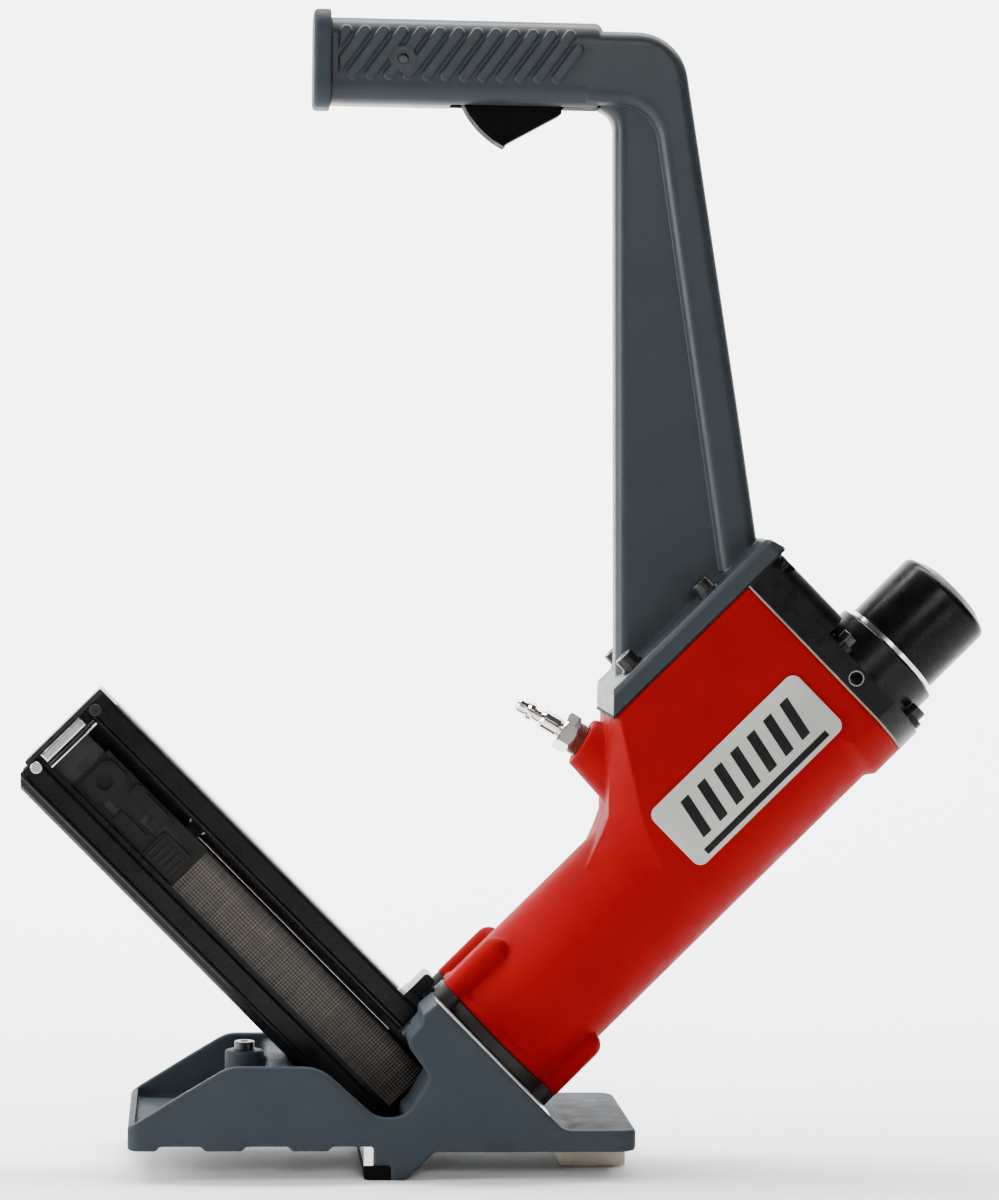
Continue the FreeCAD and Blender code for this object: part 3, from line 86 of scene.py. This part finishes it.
class Graph:
    """A material's node tree, with short ways to add and link nodes."""

    def __init__(self, name):
        self.material = bpy.data.materials.new(name)
        self.material.use_nodes = True
        self.tree = self.material.node_tree
        self.shader = self.tree.nodes["Principled BSDF"]
        place = self.tree.nodes.new("ShaderNodeTexCoord").outputs["Object"]
        turn = self.add("ShaderNodeVectorRotate", rotation_type="Y_AXIS")
        turn.inputs["Angle"].default_value = math.radians(-LINE_LEAN)
        self.link(place, turn.inputs["Vector"])
        self.place = turn.outputs["Vector"]

    def add(self, kind, **settings):
        """A new node of a kind, with its settings."""
        node = self.tree.nodes.new(kind)
        for key, value in settings.items():
            setattr(node, key, value)
        return node

    def link(self, start, end):
        """Joins an output to an input."""
        self.tree.links.new(start, end)

    def noise(self, size, detail, stretch=(1, 1, 1)):
        """Noise with blobs about size millimetres across, drawn out along the drive frame's axes."""
        spread = self.add("ShaderNodeMapping")
        spread.inputs["Scale"].default_value = [1 / s for s in stretch]
        noise = self.add("ShaderNodeTexNoise")
        noise.inputs["Scale"].default_value = 1 / (size * MM)
        noise.inputs["Detail"].default_value = detail
        self.link(self.place, spread.inputs["Vector"])
        self.link(spread.outputs["Vector"], noise.inputs["Vector"])
        return noise.outputs["Fac"]

    def remap(self, value, low, high, out_low, out_high):
        """The value, carried from one range to another."""
        node = self.add("ShaderNodeMapRange")
        names = ("From Min", "From Max", "To Min", "To Max")
        for name, number in zip(names, (low, high, out_low, out_high)):
            node.inputs[name].default_value = number
        self.link(value, node.inputs["Value"])
        return node.outputs["Result"]

    def mix(self, factor, first, second):
        """A colour between two colours. Each is three numbers or a socket."""
        node = self.add("ShaderNodeMix", data_type="RGBA")
        self.link(factor, node.inputs["Factor"])
        for socket, colour in ((node.inputs[6], first), (node.inputs[7], second)):
            if isinstance(colour, (tuple, list)):
                socket.default_value = (*colour, 1)
            else:
                self.link(colour, socket)
        return node.outputs[2]

    def bump(self, height, strength, depth, under=None):
        """A bump of depth millimetres over another bump."""
        node = self.add("ShaderNodeBump")
        node.inputs["Strength"].default_value = strength
        node.inputs["Distance"].default_value = depth * MM
        self.link(height, node.inputs["Height"])
        if under is not None:
            self.link(under, node.inputs["Normal"])
        return node.outputs["Normal"]

    def up_line(self):
        """How far a point is up the drive line's direction from the tool's origin, in metres."""
        split = self.add("ShaderNodeSeparateXYZ")
        self.link(self.place, split.inputs["Vector"])
        return split.outputs["Z"]

    def math(self, operation, first, second=0.0):
        """One sum. The first value is a socket, the second a number or a socket."""
        node = self.add("ShaderNodeMath", operation=operation)
        self.link(first, node.inputs[0])
        if isinstance(second, (int, float)):
            node.inputs[1].default_value = second
        else:
            self.link(second, node.inputs[1])
        return node.outputs[0]

    def edges(self, low, high):
        """Rises from 0 to 1 on sharp outer edges."""
        return self.remap(self.add("ShaderNodeNewGeometry").outputs["Pointiness"], low, high, 0, 1)


def shade(colour, amount):
    """The colour, lighter for an amount above 1 and darker below it."""
    return tuple(min(1.0, c * amount) for c in colour)


def surface(
    name,
    colour,
    roughness,
    metallic=0.0,
    grain=0.8,
    grain_depth=0.02,
    grain_strength=0.3,
    mottle=0.12,
    rough_spread=0.08,
    stretch=(1, 1, 1),
    edge_wear_and_highlight=0.0,
    edge_wear_and_highlight_colour=(0.5, 0.5, 0.5),
    specular=0.5,
):
    """A finish: a slightly mottled colour, uneven roughness, a fine grain, and sharp edges painted lighter
    in patches, partly wear and partly painted highlight.

    The grain's size and depth are in millimetres. Stretch draws the grain out along the drive frame's axes.
    """
    graph = Graph(name)
    shader = graph.shader
    shader.inputs["Metallic"].default_value = metallic
    shader.inputs["Specular IOR Level"].default_value = specular
    blotch = graph.remap(graph.noise(22, 4), 0.3, 0.7, 0, 1)
    tone = graph.mix(blotch, shade(colour, 1 - mottle), shade(colour, 1 + mottle))
    # Sharp outer edges painted lighter in random patches: partly wear, partly painted highlight.
    if edge_wear_and_highlight > 0:
        patches = graph.remap(graph.noise(3, 4), 0.35, 0.65, 0, edge_wear_and_highlight)
        worn_and_lit_edges = graph.math("MULTIPLY", graph.edges(0.53, 0.60), patches)
        tone = graph.mix(worn_and_lit_edges, tone, edge_wear_and_highlight_colour)
    graph.link(tone, shader.inputs["Base Color"])
    fine = graph.noise(grain, 3, stretch)
    uneven = graph.remap(graph.noise(9, 5), 0.3, 0.7, roughness - rough_spread, roughness + rough_spread)
    graph.link(uneven, shader.inputs["Roughness"])
    waves = graph.bump(graph.noise(grain * 9, 2), grain_strength * 0.4, grain_depth * 3)
    graph.link(graph.bump(fine, grain_strength, grain_depth, waves), shader.inputs["Normal"])
    return graph.material


def staple_surface():
    """Coated wire: brown-grey wires, with fine rows of glue marks across all but their upper ends."""
    graph = Graph("staple_wire")
    shader = graph.shader
    shader.inputs["Metallic"].default_value = 0.3
    shader.inputs["Specular IOR Level"].default_value = 0.3
    wires = graph.remap(graph.noise(0.9, 1, (1, 40, 40)), 0.35, 0.65, 0, 1)
    colour = graph.mix(wires, (0.026, 0.022, 0.019), (0.060, 0.051, 0.043))
    wave = graph.math("SINE", graph.math("MULTIPLY", graph.up_line(), 2 * math.pi / (ROW_PITCH * MM)))
    foot = LINE_FOOT * math.sin(math.radians(LINE_LEAN))
    fade = [(PLAIN_END + foot + distance) * MM for distance in (-ROW_FADE, ROW_FADE)]
    below_plain_end = graph.remap(graph.up_line(), *fade, 0.75, 0)
    rows = graph.math("MULTIPLY", graph.remap(wave, 0.0, 0.6, 0, 1), below_plain_end)
    spotted = graph.mix(rows, colour, (0.15, 0.13, 0.11))
    glue = graph.remap(graph.noise(14, 3, (3, 1, 1)), 0.45, 0.7, 0, 0.5)
    graph.link(graph.mix(glue, spotted, (0.028, 0.024, 0.021)), shader.inputs["Base Color"])
    graph.link(graph.remap(graph.noise(2, 3), 0.3, 0.7, 0.40, 0.55), shader.inputs["Roughness"])
    graph.link(graph.bump(graph.noise(0.6, 2), 0.3, 0.03), shader.inputs["Normal"])
    return graph.material


GREY = (0.0255, 0.0325, 0.0395)
LOOKS = {
    # In both greys the sharp edges are painted lighter: partly wear, partly painted highlight.
    "grey_casting": {
        "colour": GREY, "roughness": 0.6, "specular": 0.06, "grain": 0.5, "grain_depth": 0.05,
        "grain_strength": 0.6, "mottle": 0.05, "edge_wear_and_highlight": 0.35, "edge_wear_and_highlight_colour": (0.07, 0.082, 0.092),
    },
    # The handle's finish: the casting grey painted darker, as painted shade, with a glossier surface.
    "grey_handle_painted_shade": {
        "colour": shade(GREY, 0.75), "roughness": 0.40, "rough_spread": 0.04, "specular": 0.2,
        "grain": 0.5, "grain_depth": 0.05, "grain_strength": 0.6, "mottle": 0.05,
        "edge_wear_and_highlight": 0.35, "edge_wear_and_highlight_colour": (0.07, 0.078, 0.085),
    },
    "red_casting": {
        "colour": (0.21, 0.0, 0.0015), "roughness": 0.55, "specular": 0.03, "grain": 1.0,
        "grain_depth": 0.03, "grain_strength": 0.25, "mottle": 0.04,
    },
    "black_casting": {
        "colour": (0.0028, 0.0028, 0.0032), "roughness": 0.30, "specular": 0.14, "grain": 0.8,
        "grain_depth": 0.01, "grain_strength": 0.15, "mottle": 0.2,
    },
    "black_anodised": {
        "colour": (0.0022, 0.0022, 0.0025), "roughness": 0.30, "specular": 0.16, "grain": 0.7,
        "grain_depth": 0.006, "grain_strength": 0.15, "stretch": (40, 1, 1), "mottle": 0.15,
    },
    "black_oxide_steel": {
        "colour": (0.0062, 0.0055, 0.0052), "roughness": 0.30, "specular": 0.4, "grain": 0.6,
        "grain_depth": 0.02, "mottle": 0.15,
    },
    "pusher_black": {
        "colour": (0.0020, 0.0020, 0.0020), "roughness": 0.42, "specular": 0.2, "grain": 0.6,
        "grain_depth": 0.02, "grain_strength": 0.2, "mottle": 0.15,
    },
    "bright_steel": {
        "colour": (0.72, 0.70, 0.68), "roughness": 0.20, "metallic": 1.0, "grain": 0.5,
        "grain_depth": 0.01, "stretch": (1, 12, 1), "mottle": 0.06,
    },
    "spring_steel": {
        "colour": (0.35, 0.34, 0.33), "roughness": 0.3, "metallic": 1.0, "grain": 0.4, "grain_depth": 0.01,
    },
    "plated_steel": {
        "colour": (0.80, 0.77, 0.74), "roughness": 0.12, "rough_spread": 0.05, "metallic": 1.0,
        "grain": 0.5, "grain_depth": 0.008, "mottle": 0.08,
    },
    "sealed_brass": {
        "colour": (0.13, 0.018, 0.010), "roughness": 0.35, "metallic": 0.2, "grain": 0.7,
        "grain_depth": 0.08, "grain_strength": 0.6, "mottle": 0.45,
    },
    "dark_rubber": {
        "colour": (0.009, 0.0072, 0.0065), "roughness": 0.5, "specular": 0.25, "grain": 0.8,
        "grain_depth": 0.04, "mottle": 0.2,
    },
    "black_rubber": {
        "colour": (0.0026, 0.0023, 0.0021), "roughness": 0.28, "rough_spread": 0.07, "specular": 0.10,
        "grain": 0.8, "grain_depth": 0.01, "grain_strength": 0.12, "mottle": 0.3,
    },
    "black_plastic": {
        "colour": (0.0030, 0.0028, 0.0032), "roughness": 0.6, "specular": 0.02, "grain": 0.5,
        "grain_depth": 0.03, "mottle": 0.2,
    },
    "grey_plastic": {
        "colour": shade(GREY, 1.1), "roughness": 0.58, "specular": 0.08, "grain": 0.6,
        "grain_depth": 0.04, "grain_strength": 0.4, "mottle": 0.06,
    },
    "pale_rubber": {
        "colour": (0.55, 0.47, 0.37), "roughness": 0.6, "grain": 0.9, "grain_depth": 0.05, "mottle": 0.08,
    },
    "gasket_fibre": {
        "colour": (0.22, 0.155, 0.11), "roughness": 0.8, "grain": 0.5, "grain_depth": 0.06, "mottle": 0.2,
    },
    "dark_gasket": {
        "colour": (0.005, 0.005, 0.005), "roughness": 0.8, "specular": 0.2, "grain": 0.5,
        "grain_depth": 0.06, "mottle": 0.2,
    },
    "aluminium_plain": {
        "colour": (0.62, 0.62, 0.62), "roughness": 0.3, "metallic": 1.0, "grain": 0.5,
        "grain_depth": 0.01, "stretch": (1, 20, 1),
    },
    "badge_metal": {
        "colour": (0.35, 0.35, 0.325), "roughness": 0.42, "metallic": 0.2, "grain": 0.35,
        "grain_depth": 0.02, "stretch": (40, 1, 1), "mottle": 0.05,
    },
    "badge_ink": {
        "colour": (0.002, 0.002, 0.002), "roughness": 0.5, "specular": 0.15, "grain": 0.6,
        "grain_depth": 0.01,
    },
    "white_film": {
        "colour": (0.62, 0.58, 0.58), "roughness": 0.4, "grain": 0.8, "grain_depth": 0.01, "mottle": 0.06,
    },
    "machined_edge": {
        "colour": (0.70, 0.70, 0.70), "roughness": 0.3, "metallic": 0.6, "grain": 0.5, "grain_depth": 0.01,
    },
}
FINISHES = {name: surface(name, **look) for name, look in LOOKS.items()}
FINISHES["staple_wire"] = staple_surface()

# ---------------------------------------------------------------- mesh helpers


def shape():
    """An empty shape to build on."""
    return bmesh.new()


def as_mesh(name, part):
    """A mesh of the shape. The shape is used up."""
    mesh = bpy.data.meshes.new(name)
    part.to_mesh(mesh)
    part.free()
    return mesh


def placed(name, data):
    """A new object in the scene that shows a mesh, a light or a camera."""
    item = bpy.data.objects.new(name, data)
    bpy.context.scene.collection.objects.link(item)
    return item


def merge(target, part):
    """Adds part to target. The part is used up."""
    held = as_mesh("held", part)
    target.from_mesh(held)
    bpy.data.meshes.remove(held)


def bevel(part, width, segments=2, angle=30):
    """Rounds the edges of part that turn by more than angle degrees."""
    if width <= 0:
        return part
    limit = math.radians(angle)
    sharp = [e for e in part.edges if len(e.link_faces) == 2 and e.calc_face_angle(0) > limit]
    bmesh.ops.bevel(
        part, geom=sharp, offset=width, segments=segments, profile=0.5, affect="EDGES", clamp_overlap=True
    )
    return part


def block(x, y, z, rounding):
    """A block between three pairs of numbers, with rounded edges."""
    part = shape()
    bmesh.ops.create_cube(part, size=1)
    middle = Vector(((x[0] + x[1]) / 2, (y[0] + y[1]) / 2, (z[0] + z[1]) / 2))
    size = (x[1] - x[0], y[1] - y[0], z[1] - z[0], 1)
    part.transform(Matrix.Translation(middle) @ Matrix.Diagonal(size))
    return bevel(part, rounding)


def pushed(part, corners, push):
    """Adds a solid to part: a face between corners, pushed along push."""
    face = part.faces.new([part.verts.new(corner) for corner in corners])
    grown = bmesh.ops.extrude_face_region(part, geom=[face])
    moved = [v for v in grown["geom"] if isinstance(v, bmesh.types.BMVert)]
    bmesh.ops.translate(part, vec=push, verts=moved)
    bmesh.ops.recalc_face_normals(part, faces=part.faces)


def prism(outline, low, high, rounding):
    """An outline of (x, z) corners pushed from y = low to y = high."""
    part = shape()
    pushed(part, [(x, low, z) for x, z in outline], (0, high - low, 0))
    return bevel(part, rounding)


def lathe(profile, steps):
    """A closed profile of (radius, height) corners turned about z."""
    part = shape()
    rings = []
    for radius, height in profile:
        if radius <= 0:
            rings.append([part.verts.new((0, 0, height))])
            continue
        turn = [2 * math.pi * i / steps for i in range(steps)]
        rings.append([part.verts.new((radius * math.cos(a), radius * math.sin(a), height)) for a in turn])
    for lower, upper in zip(rings, rings[1:] + rings[:1]):
        if len(lower) == 1 and len(upper) == 1:
            continue
        for i in range(steps):
            around = ((lower, i), (lower, i + 1), (upper, i + 1), (upper, i))
            corners = [ring[k % len(ring)] for ring, k in around]
            part.faces.new(list(dict.fromkeys(corners)))
    bmesh.ops.recalc_face_normals(part, faces=part.faces)
    return part


def rounded_profile(corners, steps):
    """A profile whose corners, each (radius, height, rounding), are turned into short arcs."""
    result = []
    for i, (x, y, rounding) in enumerate(corners):
        here = Vector((x, y))
        if rounding <= 0:
            result.append((x, y))
            continue
        before = (Vector(corners[i - 1][:2]) - here).normalized()
        after = (Vector(corners[(i + 1) % len(corners)][:2]) - here).normalized()
        half = before.angle(after) / 2
        reach = rounding / math.tan(half)
        centre = here + (before + after).normalized() * (rounding / math.sin(half))
        first = here + before * reach - centre
        last = here + after * reach - centre
        for k in range(steps + 1):
            aim = first.slerp(last, k / steps) if first.angle(last) > 1e-6 else first
            result.append(tuple(centre + aim.normalized() * rounding))
    return result


def dress(item, slot, body, instead_of=(), smooth=35, material=None):
    """Gives an object its finish and shading, hangs it on its body, and hides the CAD nodes it stands for.

    The finish is the slot's own unless a material is named. Edges that turn by more than smooth degrees look
    sharp.
    """
    item.data.materials.clear()
    item.data.materials.append(FINISHES[material or slot])
    item.data.shade_smooth()
    if smooth < 180:
        item.data.set_sharp_from_angle(angle=math.radians(smooth))
    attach(item, body)
    if instead_of:
        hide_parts(*instead_of)


def piece(name, part, slot, body="frame", place=TOOL, instead_of=(), material=None):
    """Makes an object of a shape that is drawn in the frame called place, and dresses it."""
    part.transform(TO_METRES @ place)
    item = placed(name, as_mesh(name, part))
    dress(item, slot, body, instead_of, material=material)


def settled(item, name):
    """A new object with the mesh that the item's modifiers leave it with. The item is removed."""
    scene_state = bpy.context.evaluated_depsgraph_get()
    mesh = bpy.data.meshes.new_from_object(item.evaluated_get(scene_state))
    mesh.name = name
    made = placed(name, mesh)
    bpy.data.objects.remove(item)
    return made


def carved(item, room):
    """A new object: the item with room, a shape in millimetres, cut out of it. The item is removed."""
    room.transform(TO_METRES)
    tool = placed("room", as_mesh("room", room))
    carve = item.modifiers.new("Carve", "BOOLEAN")
    carve.operation = "DIFFERENCE"
    carve.solver = "EXACT"
    carve.object = tool
    made = settled(item, "carved")
    bpy.data.objects.remove(tool)
    return made


def casting(name, node, slot, voxel, rounding, most_faces, room=None, material=None):
    """A CAD piece as it comes out of a mould: its inner corners filled a little and its edges rounded.

    The voxel is in millimetres, and rounding is how many times the mesh is smoothed. Where room is a shape,
    it is cut out of the piece.
    """
    rough = placed(name + "_rough", nodes[node].data.copy())
    remesh = rough.modifiers.new("Remesh", "REMESH")
    remesh.mode = "VOXEL"
    remesh.voxel_size = voxel * MM
    remesh.adaptivity = 0.0
    relax = rough.modifiers.new("Relax", "SMOOTH")
    relax.factor = 0.5
    relax.iterations = rounding
    relaxed = settled(rough, name + "_relaxed")
    thin = relaxed.modifiers.new("Thin", "DECIMATE")
    thin.ratio = min(1.0, most_faces / (2 * len(relaxed.data.polygons)))
    made = settled(relaxed, name)
    smooth = 180
    if room is not None:
        made = carved(made, room)
        smooth = 60
    made.name = name
    dress(made, slot, "frame", [node], smooth, material)


# ---------------------------------------------------------------- castings

# The driver blade needs a clear way down through the shoe.
blade_channel = block((-10.25, -7.95), (-6.5, 6.5), (-20, 90), 0)
blade_channel.transform(DRIVE)
casting("shoe", "base_shoe", "grey_casting", 0.85, 5, 150000, blade_channel)
casting("housing", "cylinder_housing", "red_casting", 0.85, 6, 150000)
# The handle takes the casting grey painted darker, as painted shade.
casting("handle_body", "handle", "grey_casting", 0.55, 1, 190000, material="grey_handle_painted_shade")
casting("end_cap", "handle_end_cap", "grey_plastic", 0.6, 4, 60000)

# ---------------------------------------------------------------- striking cap

# A domed cap with a stepped skirt and a blind hole for its stem, as (radius, height, rounding) corners.
CAP = rounded_profile(
    [
        (5.05, 373.3, 0),
        (22.4, 373.3, 1),
        (22.4, 367.3, 0.5),
        (26.9, 367.3, 0.5),
        (26.9, 405.6, 4.0),
        (17.0, 409.9, 8.0),
        (0, 411.0, 0),
        (0, 397.0, 0),
        (5.05, 397.0, 0),
    ],
    8,
)
piece("cap", lathe(CAP, 128), "black_rubber", "strike", STRIKE, ["strike_cap"])

# ---------------------------------------------------------------- staples


def staple(out, lean):
    """One staple of rounded wire, astride the rail: out along it, and moved across it by lean."""
    half = 6.35
    wire = 1.42
    low = 14.0
    top = 52.0
    cut = 1.2
    inner_cut = 2.0
    outer = [(-half, low), (-half, top - cut), (-half + cut, top)]
    outer += [(half - cut, top), (half, top - cut), (half, low)]
    inner = [(half - wire, low), (half - wire, top - inner_cut), (half - inner_cut, top - wire)]
    inner += [(-half + inner_cut, top - wire), (-half + wire, top - inner_cut), (-half + wire, low)]
    part = shape()
    pushed(part, [(-out - wire, y + lean, z) for y, z in outer + inner], (wire, 0, 0))
    return bevel(part, 0.28, 1)


strip = shape()
for i in range(STAPLES):
    merge(strip, staple(FIRST_STAPLE + STAPLE_PITCH * i, STAPLE_LEAN * math.sin(i * 2.3)))
piece("staples", strip, "staple_wire", "frame", DRIVE, ["staple_strip"])

# ---------------------------------------------------------------- badge

# A plate with rounded corners. The ink is a film on its face: a line along it and seven slanted bars.
INK_FACE = -38.42
INK_BACK = -38.2
plate = block((-31, 6.8), (-38.3, -37.4), (220, 321), 0)
upright = [e for e in plate.edges if abs(e.verts[0].co.y - e.verts[1].co.y) > 0.5]
bmesh.ops.bevel(plate, geom=upright, offset=5, segments=8, profile=0.5, affect="EDGES")
bevel(plate, 0.2, 2, 60)
piece("badge", plate, "badge_metal", "frame", DRIVE, ["badge_plate"])
ink = block((1.0, 4.4), (INK_FACE, INK_BACK), (228, 312), 0.05)
for i in range(7):
    start = 231.0 + 11.4 * i
    bar = [(-24, start + 5.0), (-24, start + 10.5), (-3.2, start + 6.5), (-3.2, start + 1.0)]
    merge(ink, prism(bar, INK_FACE, INK_BACK, 0.05))
piece("badge_bars", ink, "badge_metal", "frame", DRIVE, material="badge_ink")

# ---------------------------------------------------------------- small parts that show

# The machined strips on the shoe's seat, one on either side of the cylinder.
seat_face = shape()
for low, high in ((-54.3, -38.6), (38.6, 54.3)):
    merge(seat_face, block((-40.5, 38.5), (low, high), (82.9, 83.12), 0.05))
piece("seat_face", seat_face, "grey_casting", "frame", DRIVE, material="machined_edge")

# The thin plates beside the bar that closes the magazine's outer end.
end_plate = block((-253.9, -252.6), (-12.2, -10.4), (26.8, 57.7), 0.2)
piece("end_plate_dark", end_plate, "black_oxide_steel", "frame", DRIVE)
end_strip = block((-251.9, -250.9), (-12.0, -10.4), (26.8, 57.7), 0.2)
piece("end_plate_bright", end_strip, "bright_steel", "frame", DRIVE)

# A dark plate, guessed as a web that closes the tray behind the foot of the magazine; it is there as painted
# shade, to keep that gap dark.
foot_web_shade_plate = block((-62, -52.1), (14.6, 16.6), (22.2, 36), 0.3)
piece("foot_web_shade_plate", foot_web_shade_plate, "black_anodised", "frame")

# The air inlet's threads, as (radius, height) corners.
THREADS = [(4.6, -10), (8.0, -10), (8.0, 0.1)]
for i in range(4):
    THREADS += [(8.55, 0.5 + i), (7.9, 1.0 + i)]
THREADS += [(7.9, 4.6), (4.6, 4.6)]
piece("bushing", lathe(THREADS, 72), "sealed_brass", "frame", INLET, ["inlet_bushing"])

# The finger ribs across the pusher.
ribs = shape()
for i in range(5):
    low = -PUSHER_START - 20.5 + 3.6 * i
    high = -PUSHER_START - 18.9 + 3.6 * i
    merge(ribs, block((low, high), (-9.5, -8.6), (30, 42), 0.35))
piece("pusher_ribs", ribs, "black_oxide_steel", "pusher", DRIVE, material="pusher_black")

# ---------------------------------------------------------------- springs


def spring(name, node):
    """A coil spring: its own copy of the CAD node's mesh, in spring steel, shown in place of the node.
    """
    item = placed(name, nodes[node].data.copy())
    dress(item, "spring_steel", "frame", [node], smooth=60)
    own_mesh(item)


spring("cap_spring", "strike_spring")
spring("top_valve_spring", "valve_spring")
spring("pull_spring", "trigger_spring")

# ---------------------------------------------------------------- the rest of the CAD nodes

# How far the edges of some CAD nodes are rounded, in millimetres.
EDGES = {
    "magazine_channel": 0.3,
    "magazine_bracket": 0.6,
    "magazine_end": 0.3,
    "magazine_end_bar": 0.3,
    "magazine_end_screw": 0.15,
    "magazine_top_screw": 0.15,
    "trigger": 0.7,
    "slot_cover": 0.3,
    "pusher": 0.35,
    "pusher_latch": 0.25,
    "rear_pad": 0.8,
    "lip_tip": 0.5,
    "foot_ring": 0.3,
    "strike_washer": 0.2,
    "flange_washers": 0.2,
    "head_bushing": 0.15,
    "cylinder_head": 0.5,
    "head_collar": 0.5,
}
# The nodes that take another finish than their slot's own.
OTHER_FINISH = {"pusher": "pusher_black", "pusher_latch": "pusher_black", "latch_pin": "pusher_black"}
SHARP_ANGLE = math.radians(30)
SLOTS = {row["node"]: row["material_slot"] for row in frame["record"]["subparts"]}
for node, item in nodes.items():
    item.data.materials.clear()
    item.data.materials.append(FINISHES[OTHER_FINISH.get(node, SLOTS[node])])
    item.data.shade_smooth()
    item.data.set_sharp_from_angle(angle=SHARP_ANGLE)
    if node in EDGES:
        rounding = item.modifiers.new("Edges", "BEVEL")
        rounding.width = EDGES[node] * MM
        rounding.segments = 2
        rounding.limit_method = "ANGLE"
        rounding.angle_limit = SHARP_ANGLE
        rounding.harden_normals = True

# ---------------------------------------------------------------- stage, lights and camera


def pale_floor():
    """A plain pale floor that runs up into a backdrop."""
    graph = Graph("floor")
    cloud = graph.remap(graph.noise(400, 2), 0.3, 0.7, 0, 1)
    tone = graph.mix(cloud, (0.93, 0.93, 0.93), (0.95, 0.95, 0.95))
    graph.link(tone, graph.shader.inputs["Base Color"])
    graph.shader.inputs["Roughness"].default_value = 0.9
    front = -4.0
    bend_start = 0.45
    bend = 1.6
    top = 6.0
    half_width = 6.0
    drop = 0.0004
    profile = [(front, 0.0), (bend_start, 0.0)]
    for k in range(1, 17):
        turn = math.radians(90 * k / 16)
        profile.append((bend_start + bend * math.sin(turn), bend * (1 - math.cos(turn))))
    profile.append((bend_start + bend, top))
    part = shape()
    rows = [[part.verts.new((x, y, z - drop)) for x in (-half_width, half_width)] for y, z in profile]
    for low, high in zip(rows, rows[1:]):
        part.faces.new((low[0], low[1], high[1], high[0]))
    floor = placed("floor", as_mesh("floor", part))
    floor.data.materials.append(graph.material)
    floor.data.shade_smooth()


def softbox(name, place, aim, width, height, power):
    """A soft rectangular light at place, facing aim."""
    light = bpy.data.lights.new(name, "AREA")
    light.shape = "RECTANGLE"
    light.size = width
    light.size_y = height
    light.energy = power
    item = placed(name, light)
    item.location = place
    item.rotation_euler = (Vector(aim) - Vector(place)).to_track_quat("-Z", "Y").to_euler()


def make_world():
    """Even, faint white light from all round."""
    world = bpy.data.worlds.new("studio")
    world.use_nodes = True
    background = world.node_tree.nodes["Background"]
    background.inputs["Color"].default_value = (1, 1, 1, 1)
    background.inputs["Strength"].default_value = 0.07
    bpy.context.scene.world = world


def make_camera():
    """The camera, almost level with the tool's middle and a little to its left, with a slight tilt."""
    azimuth = math.radians(-4.8)
    elevation = math.radians(2.2)
    roll = math.radians(0.8)
    middle = Vector((-0.0046, 0, 0.281))
    distance = 1.8
    level = math.cos(elevation)
    back = Vector((math.sin(azimuth) * level, -math.cos(azimuth) * level, math.sin(elevation)))
    right = (-back).cross(Vector((0, 0, 1))).normalized()
    up = right.cross(-back)
    turned_right = right * math.cos(roll) + up * math.sin(roll)
    turned_up = up * math.cos(roll) - right * math.sin(roll)
    turn = Matrix((turned_right, turned_up, back)).transposed()
    data = bpy.data.cameras.new("camera")
    data.lens = 108
    data.sensor_width = 36
    data.clip_end = 50
    camera = placed("camera", data)
    camera.matrix_world = Matrix.Translation(middle + back * distance) @ turn.to_4x4()
    bpy.context.scene.camera = camera


# Each light's name, place, aim, width, height and power in watts.
LIGHTS = [
    ("left", (-1.8, -0.4, 0.6), (0, 0, 0.25), 0.4, 1.4, 46),
    ("edge", (-1.9, 0.05, 0.45), (0.05, 0, 0.35), 0.14, 1.0, 14),
    ("front", (0.2, -2.2, 1.2), (0, 0, 0.25), 1.0, 0.6, 24),
    ("top", (0.1, 0.0, 1.9), (0, 0, 0.3), 1.6, 0.7, 15),
    ("low", (0.75, -1.2, 0.12), (0.17, 0, 0.28), 0.5, 0.25, 2),
    ("backdrop", (0, 0.45, 1.75), (0, 1.75, 0.5), 3.0, 0.8, 230),
]

pale_floor()
make_world()
for light in LIGHTS:
    softbox(*light)
make_camera()
